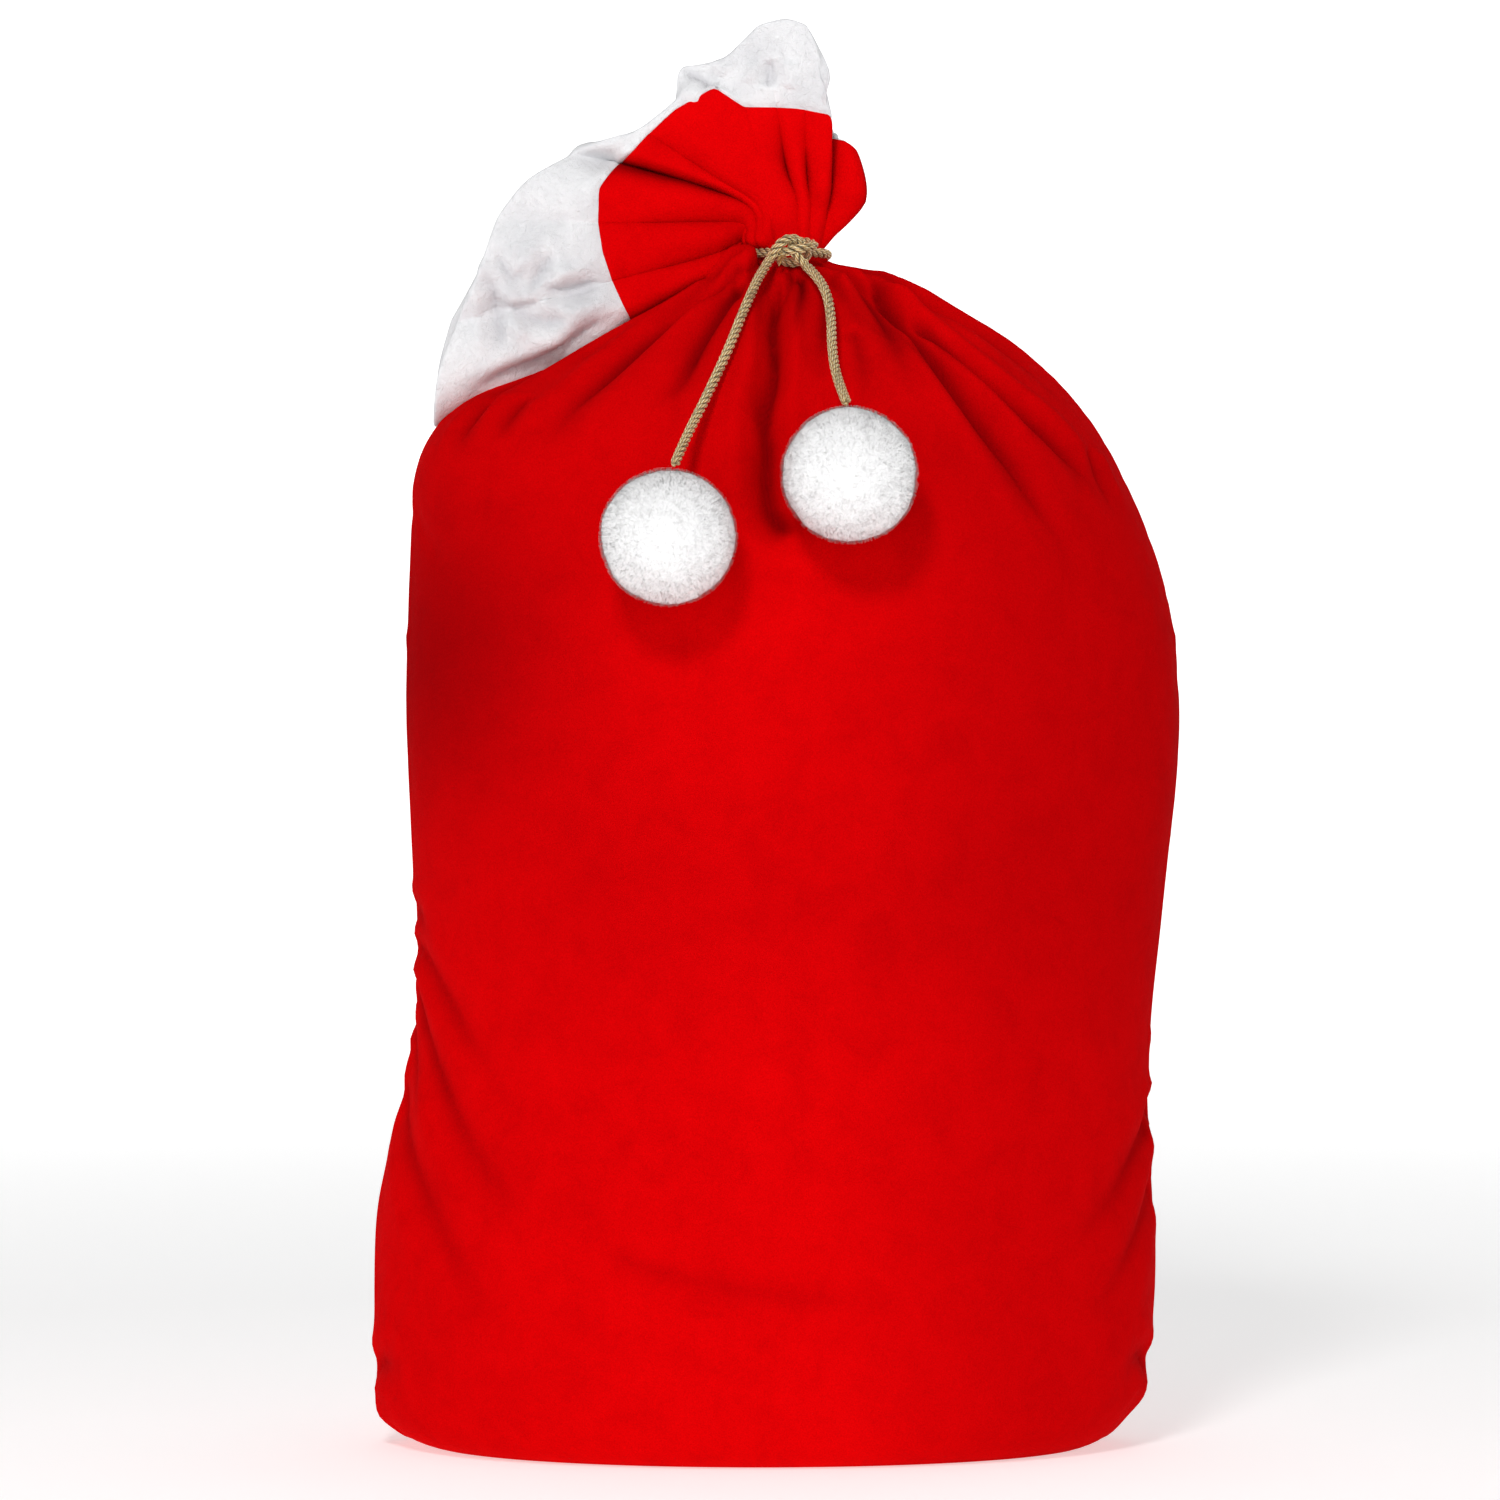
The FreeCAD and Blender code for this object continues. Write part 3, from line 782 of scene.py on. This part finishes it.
# Slanting creases where the side seams pull the cloth, and a slack one low in front.
PULLED_FOLDS = (
    (((-89, 303), (-76, 290), (-58, 250), (-42, 205)), 4.5, (3, 8)),
    (((-90, 282), (-80, 262), (-62, 215), (-44, 165), (-34, 140)), 5, (3, 8)),
    (((-90, 264), (-84, 245), (-74, 215), (-66, 190)), 4, (3, 6)),
    (((-89, 322), (-80, 316), (-70, 300)), 3.5, (3, 6)),
    (((-86, 222), (-80, 200), (-62, 158), (-48, 110), (-36, 62)), 4, (4, 9)),
    (((89, 196), (76, 182), (60, 150), (44, 116)), 4.5, (3, 8)),
    (((90, 208), (84, 200), (78, 196)), 6, (3, 5)),
    (((88, 160), (76, 142), (62, 104), (54, 76)), 3.5, (4, 8)),
    (((-24, 128), (-10, 112), (8, 101), (22, 100)), 2, (4, 8)),
    (((-88, 46), (-78, 52), (-64, 50)), 4, (3, 6)),
    (((88, 48), (78, 56), (66, 52)), 5, (3, 6)),
    (((92, 190), (108, 170), (124, 120), (134, 80)), 4.5, (3, 8)),
    (((268, 296), (254, 270), (240, 215), (228, 160)), 4.5, (3, 8)),
    (((268, 262), (256, 232), (246, 180)), 4, (3, 7)),
    (((150, 120), (175, 104), (198, 112)), 2.5, (4, 9)),
)
NECK_GATHERS = 30
SETTLING_FRAMES = 20
MOST_PRESSED = 9 * MM  # the farthest that the filling may press the velvet out
# What holds the velvet still: the side seams, up to this far from their middle, the floor up to
# this height, and the neck from this height.
SEAM_HALF = 2.5 * MM
FLOOR_HELD = 6 * MM
NECK_HELD = 0.69


class Sack:
    """The sack's own form, read from the CAD panels: its sections by height."""

    def __init__(self):
        names = ("front_panel", "back_panel", "left_side_seam", "right_side_seam", "bottom_seam")
        tree = tree_of([frame["nodes"][name].data for name in names])
        low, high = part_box("front_panel")
        self.heights = np.linspace(low.z + 0.4 * MM, high.z - 0.4 * MM, 220)
        self.sizes = np.array([self.section(tree, height) for height in self.heights])
        self.top = high.z

    @staticmethod
    def section(tree, height):
        """Middle in X, half width and half depth at one height."""
        beside = 0.7 * MM  # the rays miss the edges between the faces
        left = tree.ray_cast((-1, beside, height), (1, 0, 0))[0].x
        right = tree.ray_cast((1, beside, height), (-1, 0, 0))[0].x
        middle = (left + right) / 2
        front = tree.ray_cast((middle, -1, height), (0, 1, 0))[0].y
        back = tree.ray_cast((middle, 1, height), (0, -1, 0))[0].y
        return middle, (right - left) / 2, (back - front) / 2

    def sizes_at(self, height):
        return [np.interp(height, self.heights, self.sizes[:, k]) for k in range(3)]

    def at(self, bearing, height):
        """The point at a bearing (degrees from straight ahead, towards the right) and height."""
        middle, half_width, half_depth = self.sizes_at(height)
        turn = np.radians(bearing)
        x, y = middle + half_width * np.sin(turn), -half_depth * np.cos(turn)
        return np.stack(np.broadcast_arrays(x, y, height), axis=-1)

    def fold_line(self, path):
        """A smooth line on the sack through (bearing, height in mm) points."""
        smooth = through(np.array(path, float), 130)
        return self.at(smooth[:, 0], smooth[:, 1] * MM)


def sack_grid(sack):
    """Rows of points over the whole sack, from the middle of its floor to inside its neck."""
    bearings = np.linspace(-90, 270, 2 * SIDE_COLUMNS, endpoint=False)
    rows = []
    middle, half_width, half_depth = sack.sizes_at(sack.heights[0])
    turns = np.radians(bearings)
    for share in np.linspace(0.03, 0.985, FLOOR_ROWS):
        rows.append(np.stack([
            middle + share * half_width * np.sin(turns), -share * half_depth * np.cos(turns),
            np.full(len(turns), 0.3 * MM),
        ], axis=1))
    profile = np.stack([sack.sizes[:, 1:].mean(1), sack.heights], axis=1)
    closeness = np.where(sack.heights > SHOULDER, 1.9, 1.0)
    along = np.concatenate([[0], np.cumsum(np.diff(lengths_along(profile)) * closeness[1:])])
    heights = np.interp(np.linspace(0, along[-1], WALL_ROWS), along, sack.heights)
    for height in heights:
        rows.append(sack.at(bearings, height))
    neck = sack.at(bearings, sack.heights[-1])
    axis = neck.mean(0)
    for inward, up in ((0.9, 1.6), (0.7, 1.2), (0.55, -3), (0.5, -12)):
        ring = axis + (neck - axis) * inward
        ring[:, 2] = sack.top + up * MM
        rows.append(ring)
    return np.array(rows)


def fold_sack(sack, form):
    """Carves every fold, gather and seam of the sack into its form."""
    rest, normals = points_of(form), normals_of(form)
    points, shade = rest.copy(), np.zeros(len(rest))
    surface = tree_of([form.data])

    def fold(path, depth, widths, lip=0.35, fade=(0.12, 0.4)):
        line = np.array([surface.find_nearest(Vector(place))[0] for place in sack.fold_line(path)])
        carve(points, shade, rest, normals, line, depth * MM, np.array(widths) * MM, lip, fade)

    for path, depth, widths, lasting in FRONT_FOLDS + BACK_FOLDS:
        fold(path, depth, widths, fade=(0.10, lasting))
    for path, depth, widths in PULLED_FOLDS:
        fold(path, depth, widths)
    rng = np.random.default_rng(7)
    for gather in range(NECK_GATHERS):
        bearing = 360 * gather / NECK_GATHERS + rng.uniform(-4, 4)
        drift = rng.uniform(-9, 9)
        low = rng.uniform(640, 676)
        path = (
            (bearing, 709), (bearing + 0.3 * drift, 696), (bearing + 0.7 * drift, (696 + low) / 2),
            (bearing + drift, low),
        )
        fold(path, rng.uniform(2.5, 4.5), (1.8, 4.5), fade=(0, 0.3))
    for bearing in (-90, 90):
        path = [(bearing, height) for height in np.linspace(12, 700, 24)]
        for low, high in ((0, 9), (8, 17), (16, 24)):
            fold(path[low:high], 3, (2.6, 2.6), lip=0.3, fade=(0, 0.98))
    move_points(form, points)
    # painted shade of the folds together with painted shade over parts of the sack, for the velvet
    keep_shade(form, 1 - (1 - shade) * (1 - painted_sack_shade(rest)))


def painted_sack_shade(points):
    """Painted shade over the sack, from 0 to 1: most at the left shoulder, some on the right and higher up.
    """
    x, _, z = points.T
    left = 0.62 * np.exp(-(((x + 0.20) / 0.085) ** 2) - ((z - 0.475) / 0.095) ** 2)
    right = 0.30 * smoothstep(0.0, 0.16, x) * (1 - smoothstep(0.58, 0.68, z))
    upper = 0.17 * smoothstep(0.20, 0.34, z)
    return np.clip(left + right + upper, 0, 1)


def draw_ears(points, sack):
    """Pulls the sack's two lower corners out into small ears."""
    for bearing, height in ((-90, 22), (90, 34)):
        ear = sack.at(float(bearing), height * MM)
        away = np.linalg.norm((points - ear) * (1, 0.5, 1), axis=1)
        way = np.array([math.sin(math.radians(bearing)), 0, -0.5])
        points += way * (6 * MM * np.exp(-((away / (11 * MM)) ** 2)))[:, None]


def raise_left_shoulder(points):
    """Lifts the velvet of the left shoulder up to the fallen mouth, which lies on it."""
    x, y, z = points.T
    rise = np.interp(x / MM, (-240, -195, -90, -55, -38, -27, -17, -8), (0, 9, 8, 9, 13, 17, 12, 0))
    points[:, 2] += rise * MM * smoothstep(0.575, 0.620, z) * np.exp(-((y / 0.07) ** 2))
    beside_knot = np.linalg.norm(points - (-0.014, -0.026, 0.703), axis=1)
    points[:, 2] += 7 * MM * np.exp(-((beside_knot / (13 * MM)) ** 2))


def press_out(form):
    """A short cloth simulation: the filling presses the velvet out between the seams, neck and floor."""
    before = points_of(form)
    _, across, high = before.T
    held = form.vertex_groups.new(name="held")
    firm = (np.abs(across) < SEAM_HALF) | (high < FLOOR_HELD) | (high > NECK_HELD)
    held.add(np.flatnonzero(firm).tolist(), 1.0, "REPLACE")
    cloth = form.modifiers.new("cloth", "CLOTH")
    wanted = {
        "quality": 4, "mass": 0.3, "tension_stiffness": 12, "compression_stiffness": 12,
        "shear_stiffness": 6, "bending_stiffness": 0.4, "use_pressure": True,
        "uniform_pressure_force": 4, "vertex_group_mass": "held",
    }
    for setting, value in wanted.items():
        setattr(cloth.settings, setting, value)
    cloth.settings.effector_weights.gravity = 0
    cloth.collision_settings.use_collision = False
    cloth.point_cache.frame_start = 1
    cloth.point_cache.frame_end = SETTLING_FRAMES
    for moment in range(1, SETTLING_FRAMES + 1):
        bpy.context.scene.frame_set(moment)
    apply_modifiers(form)
    bpy.context.scene.frame_set(1)
    moved = points_of(form) - before
    far = np.linalg.norm(moved, axis=1, keepdims=True)
    share = MOST_PRESSED * np.tanh(far / MOST_PRESSED) / np.maximum(far, 1e-9)
    move_points(form, before + moved * share)


def close_floor(form):
    """Closes the small opening left in the middle of the sack's floor."""
    work = bmesh.new()
    work.from_mesh(form.data)
    rim = [edge for edge in work.edges if edge.is_boundary and edge.verts[0].co.z < 5 * MM]
    bmesh.ops.holes_fill(work, edges=rim, sides=0)
    work.to_mesh(form.data)
    work.free()


def make_sack():
    """The sack's sections, and its whole velvet in one form, pressed out by the filling and folded."""
    sack = Sack()
    form = sleeve("sack_form", sack_grid(sack))
    points, normals = points_of(form), normals_of(form)
    lumps = noise_at(points, 6.0, 3.0) * 2.6 + noise_at(points, 14.0, 8.0) * 1.3
    free = smoothstep(0.004, 0.05, points[:, 2]) * (1 - smoothstep(0.62, 0.7, points[:, 2]))
    points += normals * (lumps * free * MM)[:, None]
    raise_left_shoulder(points)
    draw_ears(points, sack)
    move_points(form, points)
    press_out(form)

    subdivide(form)
    close_floor(form)
    fold_sack(sack, form)
    points = points_of(form)
    points[:, 2] = np.maximum(points[:, 2], 0.2 * MM)
    move_points(form, points)
    return sack, form


def split_panels(form):
    """Front and back panels as two pieces that meet at the side seams."""
    points = points_of(form)
    shade = np.zeros(len(points), np.float32)
    form.data.attributes["shade"].data.foreach_get("value", shade)
    panels = []
    for side, sign in (("front", -1), ("back", 1)):
        kept = [list(face.vertices) for face in form.data.polygons if (face.center.y < 0) == (sign < 0)]
        used = np.unique(np.concatenate(kept))
        index = np.zeros(len(points), int)
        index[used] = np.arange(len(used))
        panel = mesh_object(f"{side}_velvet", points[used], [index[face] for face in kept], VELVET)
        keep_shade(panel, shade[used])
        settle(panel, "sack", "velvet", f"{side}_panel")
        panels.append(panel)
    bpy.data.objects.remove(form)
    return panels


def make_stuffing(sack):
    """The filling: a lumpy form a little inside the velvet, up to the neck."""
    low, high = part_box("filling")
    inset, top = 24 * MM, high.z - 24 * MM
    bearings = np.linspace(0, 360, 72, endpoint=False)
    rows = []
    for height in np.linspace(low.z + 4 * MM, top, 60):
        ring = sack.at(bearings, height)
        middle = np.array([sack.sizes_at(height)[0], 0, height])
        drawn = inset + 0.4 * np.maximum(0, height - (top - 60 * MM))
        rows.append(ring + unit(middle - ring) * drawn)
    count = len(rows)
    points = np.array(rows).reshape(-1, 3)
    lumps = noise_at(points, 22.0, 5.0) * 5 * MM
    centre = points.mean(0)
    points -= unit(points - centre) * np.abs(lumps)[:, None]
    faces = grid_faces(count, len(bearings), closed=True)
    faces.append(list(range(len(bearings)))[::-1])
    faces.append(list(range((count - 1) * len(bearings), count * len(bearings))))
    stuffing = mesh_object("stuffing", points, faces, FILL)
    settle(stuffing, "sack", "stuffing", "filling")


STITCH_PITCH = {"sack": 5.5 * MM, "mouth": 5 * MM}
THREAD_RADIUS = 0.45 * MM


def stitches(name, line, outward, body, *nodes):
    """A row of thread stitches lying on a line; outward points out of the cloth at each point."""
    along = lengths_along(line)
    pitch = STITCH_PITCH[body]
    row = []
    for place in np.arange(0, along[-1] - pitch, pitch):
        spots = place + pitch * np.array([0.0, 0.12, 0.4, 0.68, 0.8])
        lift = np.array([-0.5, 0.25, 0.45, 0.25, -0.5]) * MM
        run = read_along(line, along, spots)
        up = unit(read_along(outward, along, spots))
        row.append(tube(run + up * lift[:, None], THREAD_RADIUS, sides=6))
    settle(mesh_object(name, *joined(row), RED_THREAD), body, "seam_thread", *nodes)


def surface_line(tree, starts, targets, lift=0.0):
    """Where rays from starts towards targets meet a surface, and the way out of it there."""
    places, ways = [], []
    for start, target in zip(starts, targets):
        hit, normal, _, _ = tree.ray_cast(Vector(start), Vector(target) - Vector(start))
        if hit is None:
            continue
        toward = unit(np.array(start) - np.array(target))
        way = np.array(normal) if np.dot(normal, toward) > 0 else -np.array(normal)
        places.append(np.array(hit) + way * lift)
        ways.append(way)
    return np.array(places), np.array(ways)


def make_sack_seams(sack, panels):
    """Rows of stitches up both sides of the sack and along its bottom."""
    tree = tree_of([panel.data for panel in panels])
    heights = np.linspace(0.03, 0.69, 200)
    middles = np.interp(heights, sack.heights, sack.sizes[:, 0])
    for side, bearing in (("left", -90), ("right", 90)):
        rim = sack.at(np.full_like(heights, bearing), heights)
        starts = rim + np.array([math.sin(math.radians(bearing)) * 0.1, 0, 0])
        targets = np.stack([middles, np.zeros_like(heights), heights], axis=1)
        line, ways = surface_line(tree, starts, targets)
        stitches(f"{side}_side_stitches", line, ways, "sack", f"{side}_side_seam")
    across = np.linspace(-0.185, 0.165, 80)
    starts = np.stack([across, np.zeros_like(across), np.full_like(across, -0.1)], axis=1)
    line, ways = surface_line(tree, starts, starts + (0, 0, 0.2), lift=0.4 * MM)
    stitches("bottom_stitches", line, -ways, "sack", "bottom_seam")


# ---- ruff and cuff

# Lines that the cloth above the neck follows from the cord to its lip, in order round the mouth:
# front from right to left, then back from left to right. Each gives the angle at which it leaves
# the cord, then (reach in mm, angle in degrees) at its middle, at the red-white seam and at the lip,
# and its depth there as a share of the whole: 1 on a crest, less in a valley, 0 at the mouth's ends.
FRONT_RIBS = (
    (0, (53, 31), (69, 55), (57, 55), (0.0, 0.0, 0.0)),
    (12, (49, 43), (70, 61), (60, 62), (0.40, 0.40, 0.10)),
    (26, (42, 54), (68, 69), (58, 66), (0.10, 0.15, 0.05)),
    (40, (41, 58), (79, 72), (110, 80), (0.95, 0.98, 0.95)),
    (54, (45, 77), (79, 83), (127, 85), (0.20, 0.95, 0.98)),
    (62, (46, 83), (79, 89), (131, 90.5), (0.95, 1.00, 1.00)),
    (72, (46, 91), (80, 95), (128, 98), (0.20, 0.90, 0.97)),
    (92, (50, 110), (84, 109), (111, 112), (1.00, 1.00, 0.95)),
    (104, (55, 120), (101, 116), (124, 122), (1.00, 1.00, 0.80)),
    (116, (56, 131), (103, 131), (105, 130), (0.95, 0.95, 0.70)),
    (124, (57, 138), (105, 143), (113, 145), (0.55, 0.80, 0.80)),
    (130, (57, 141), (107, 150), (124, 151), (0.80, 0.90, 0.90)),
    (135, (55, 144), (111, 154.5), (138, 158), (-0.05, 0.25, 0.75)),
    (146, (54, 154), (117, 165), (160, 167), (1.00, 1.00, 1.00)),
    (154, (52, 166), (114, 175), (174, 176), (0.45, 0.90, 0.85)),
    (164, (47, 176), (111, 184), (186, 187), (1.00, 1.00, 1.00)),
    (172, (44, 188), (108, 193), (202, 193.5), (0.20, 0.85, 0.62)),
    (179, (47, 198), (106, 201), (224, 201), (0.90, 0.95, 0.95)),
    (184, (44, 207), (105, 209), (239, 207.5), (0.0, 0.0, 0.0)),
)
BACK_RIBS = (
    (178, (47, 197), (106, 199), (224, 199), (0.85, 0.90, 0.80)),
    (170, (46, 188), (109, 190), (205, 191), (0.20, 0.40, 0.50)),
    (160, (50, 178), (112, 182), (186, 183), (1.00, 1.00, 0.95)),
    (151, (52, 169), (115, 173), (172, 174), (0.15, 0.35, 0.55)),
    (142, (54, 160), (115, 163), (154, 164), (1.00, 1.00, 1.00)),
    (133, (55, 151), (110, 152), (128, 153), (0.15, 0.30, 0.50)),
    (123, (56, 141), (105, 142), (113, 142), (0.95, 1.00, 0.90)),
    (113, (56, 129), (102, 129), (110, 130), (0.15, 0.25, 0.45)),
    (103, (55, 118), (98, 118), (116, 119), (1.00, 1.00, 1.00)),
    (93, (50, 107), (88, 107), (118, 108), (0.15, 0.30, 0.55)),
    (83, (48, 96), (82, 97), (129, 98), (1.00, 1.00, 1.00)),
    (72, (46, 84), (80, 87), (127, 89), (0.15, 0.30, 0.55)),
    (58, (45, 71), (79, 79), (112, 84), (0.85, 0.95, 0.90)),
    (42, (43, 57), (71, 67), (80, 77), (0.15, 0.30, 0.40)),
    (22, (48, 42), (67, 60), (52, 64), (0.60, 0.60, 0.20)),
)
COLUMNS_PER_RIB = 7
RUFF_ROWS = 30
SEAM_START_ROW = 18  # nearer the cord the seams are lost in the gathers
CUFF_ROWS = 22
CUFF_PROUD = 4 * MM
CUFF_INSIDE = 2 * MM

# Creases in the front of the cuff, as places seen from in front (X and height, mm).
CUFF_CREASES = (
    ((-168, 716), (-161, 703), (-155, 697), (-144, 707)),
    ((-147, 688), (-138, 702), (-131, 713)),
    ((-176, 701), (-168, 690), (-165, 669), (-160, 652)),
    ((-161, 684), (-147, 675), (-135, 671), (-120, 674)),
    ((-140, 692), (-123, 689), (-99, 696)),
    ((-186, 627), (-160, 640), (-135, 650), (-110, 666), (-92, 680)),
    ((-3, 828), (-3, 818), (-4, 810)),
    ((-57, 821), (-44, 817), (-34, 808)),
)
FAN_POINT = anchor_of("mouth_tilt")


def fan_depth(reach):
    """Half the fan's thickness at a reach (mm): slim at the neck and lip, full over the middle."""
    return np.interp(reach, (0, 20, 60, 110, 200, 245), (13, 16, 25, 38, 38, 26))


def rib_lines(ribs, side):
    """The points of each rib at its seven stations, from inside the neck to the lip; side is -1 in front.

    On the left in front the cloth rolls out over the cord before it rises.
    """
    lines = []
    for leaving, middle, seam, lip, depths in ribs:
        turn = math.radians(leaving * 180 / 184)
        level, out = math.cos(turn), math.sin(turn)
        inside = (13 * level, side * 13 * out, -18)
        ring = (18.3 * level, side * 18.3 * out, -4)
        rise_angle = math.radians(0.6 * leaving + 0.4 * middle[1])
        rise_depth = fan_depth(27) * max(out, 0) * (0.35 + 0.65 * depths[0])
        rise_height = max(27 * math.sin(rise_angle) + 3 * max(0.0, -level), -1.5)
        rise = (27 * math.cos(rise_angle), side * rise_depth, rise_height)
        roll = smoothstep(104, 126, leaving) * (1 - smoothstep(176, 184, leaving)) if side < 0 else 0
        over_cord = np.array([28 * level, side * 28 * out, 0.5])
        over = (np.array(ring) + rise) / 2 * (1 - roll) + over_cord * roll
        stations = [inside, ring, over, rise]
        for (reach, angle), depth in zip((middle, seam, lip), depths):
            angle = math.radians(angle)
            thick = side * depth * fan_depth(reach)
            stations.append((reach * math.cos(angle), thick, reach * math.sin(angle)))
        lines.append(stations)
    return np.array(lines)


def fan_columns():
    """Stations of every column round the mouth: between ribs the cloth rises steeply out of a valley and
    lies broad over a crest."""
    front = rib_lines(FRONT_RIBS, -1)
    back = rib_lines(BACK_RIBS, 1)
    ribs = np.concatenate([front, back])
    depth = ribs[:, 5, 1] * np.where(np.arange(len(ribs)) < len(front), -1, 1)
    columns = []
    for index in range(len(ribs)):
        after = (index + 1) % len(ribs)
        rising = depth[after] > depth[index]
        for step in range(COLUMNS_PER_RIB):
            v = step / COLUMNS_PER_RIB
            u = v**1.5 if rising else 1 - (1 - v) ** 1.5
            lift = (1 - (1 - u) ** 1.8) ** (1 / 1.8) if rising else 1 - (1 - u**1.8) ** (1 / 1.8)
            column = ribs[index] + (ribs[after] - ribs[index]) * u
            column[:, 1] = ribs[index][:, 1] + (ribs[after][:, 1] - ribs[index][:, 1]) * lift
            columns.append(column)
    return np.array(columns)


def fan_grid():
    """Points of the fan, row by row from inside the neck to the lip."""
    per_station = 10
    seam = 5 * per_station
    lines = []
    for stations in fan_columns():
        line = through(stations, 6 * per_station + 1)
        parts = []
        for part, rows in ((line[: seam + 1], RUFF_ROWS), (line[seam:], CUFF_ROWS)):
            along = lengths_along(part)
            parts.append(read_along(part, along, np.linspace(0, along[-1], rows)))
        lines.append(np.concatenate([parts[0], parts[1][1:]]))
    return np.array(lines).transpose(1, 0, 2) * MM + FAN_POINT


def soften(rows, times):
    """Evens out a closed band of points along its rows, not at all in its first and most in its last."""
    share = 0.5 * smoothstep(0, 0.35, np.linspace(0, 1, len(rows)))[:, None, None]
    for _ in range(times):
        mean = (np.roll(rows, 1, axis=1) + np.roll(rows, -1, axis=1)) / 2
        rows = rows + share * (mean - rows)
    return rows


def cuff_band(rows):
    """A soft band round the mouth: outside, round lip and inside, thin where it has little room."""
    count, columns = rows.shape[:2]
    middle = sleeve("cuff_middle", rows)
    normals = normals_of(middle).reshape(rows.shape)
    places = rows.reshape(-1, 3)
    soft = noise_at(places, 24.0, 4.0) * 1.8 * MM + noise_at(places, 11.0, 9.0) * 2.5 * MM
    soft = soft.reshape(count, columns, 1)
    bpy.data.objects.remove(middle)
    along = np.linspace(0, 1, count)[:, None, None]
    room = np.linalg.norm(rows[-1] - rows[0], axis=1)[None, :, None]
    thick = smoothstep(8 * MM, 32 * MM, room)
    full = smoothstep(0, 0.12, along) * (1 - 0.35 * smoothstep(0.85, 1, along)) * thick
    rows = rows + normals * soft * smoothstep(0.1, 0.4, along) * thick
    outside = rows + normals * (1.2 * MM + CUFF_PROUD * full)
    inside = rows - normals * CUFF_INSIDE * full
    lip = rows[-1] + unit(rows[-1] - rows[-2]) * 0.3 * CUFF_PROUD * thick[0]
    return np.concatenate([outside, lip[None], inside[::-1]])


def press_creases(cuff):
    """Presses the front creases into the cuff, and keeps a painted shade along them."""
    rest, normals = points_of(cuff), normals_of(cuff)
    points, shade = rest.copy(), np.zeros(len(rest))
    tree = tree_of([cuff.data])
    for crease in CUFF_CREASES:
        seen = through(crease, 24) * MM
        starts = np.stack([seen[:, 0], np.full(len(seen), -1.0), seen[:, 1]], axis=1)
        line, _ = surface_line(tree, starts, starts + (0, 1, 0))
        if len(line) > 3:
            widths = (2.5 * MM, 3.2 * MM)
            carve(points, shade, rest, normals, line, 5.5 * MM, widths, lip=0.4, fade=(0.25, 0.7))
    move_points(cuff, points)
    # painted shade along the cuff's creases, for the plush to read
    keep_shade(cuff, shade)


def valley_shade(rows):
    """How deep each point of the ruff lies in a valley, from 0 to 1, by how far its neighbours stand out."""
    depth = np.abs(rows[:, :, 1] - FAN_POINT[1])
    around = np.max([np.roll(depth, step, axis=1) for step in range(-5, 6)], axis=0)
    reach = np.linalg.norm(rows - FAN_POINT, axis=2)
    return smoothstep(3 * MM, 13 * MM, around - depth) * smoothstep(16 * MM, 30 * MM, reach) * 0.9


def make_mouth():
    """The gathered velvet above the neck and the white plush cuff round its lip."""
    grid = fan_grid()

    ruff = sleeve("ruff_velvet", grid[:RUFF_ROWS], VELVET)
    points, normals = points_of(ruff), normals_of(ruff)
    clear = smoothstep(20 * MM, 50 * MM, np.linalg.norm(points - FAN_POINT, axis=1))
    fine = noise_at(points, 60.0, 2.0) * 0.9 * MM * clear
    move_points(ruff, points + normals * fine[:, None])
    keep_shade(ruff, valley_shade(grid[:RUFF_ROWS]).ravel())
    thickness = ruff.modifiers.new("thickness", "SOLIDIFY")
    thickness.thickness = 1.6 * MM
    thickness.offset = -1
    apply_modifiers(ruff)
    subdivide(ruff)

    band = cuff_band(soften(grid[RUFF_ROWS - 2:], 3))
    columns = band.shape[1]
    faces = grid_faces(len(band), columns, closed=True)
    last = (len(band) - 1) * columns
    for column in range(columns):
        after = (column + 1) % columns
        faces.append((last + column, last + after, after, column))
    cuff = mesh_object("cuff_plush", band.reshape(-1, 3), faces, PLUSH)
    subdivide(cuff)
    press_creases(cuff)

    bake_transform(ruff)
    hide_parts("ruff_front", "ruff_back")
    settle(cuff, "mouth", "plush", "cuff_front", "cuff_back")
    return grid


def make_mouth_seams(grid):
    """Stitches along the two ends of the mouth, where front and back are sewn together."""
    left = (len(FRONT_RIBS) - 1) * COLUMNS_PER_RIB
    for side, column, way in (("left", left, (-0.4, 0, -0.9)), ("right", 0, (0.9, 0, -0.4))):
        line = grid[SEAM_START_ROW:RUFF_ROWS, column] + np.array(way) * 0.8 * MM
        ways = np.tile(np.array(way, float), (len(line), 1))
        stitches(f"mouth_{side}_stitches", line, ways, "mouth", f"mouth_{side}_seam")


# ---- main

make_camera()
make_light()
make_floor()
make_neck_cord()
make_knot()
make_tack()
make_tail("left", LEFT_ROUTE, 5)
make_tail("right", RIGHT_ROUTE, 11)
sack, form = make_sack()
panels = split_panels(form)
make_stuffing(sack)
make_sack_seams(sack, panels)
make_mouth_seams(make_mouth())
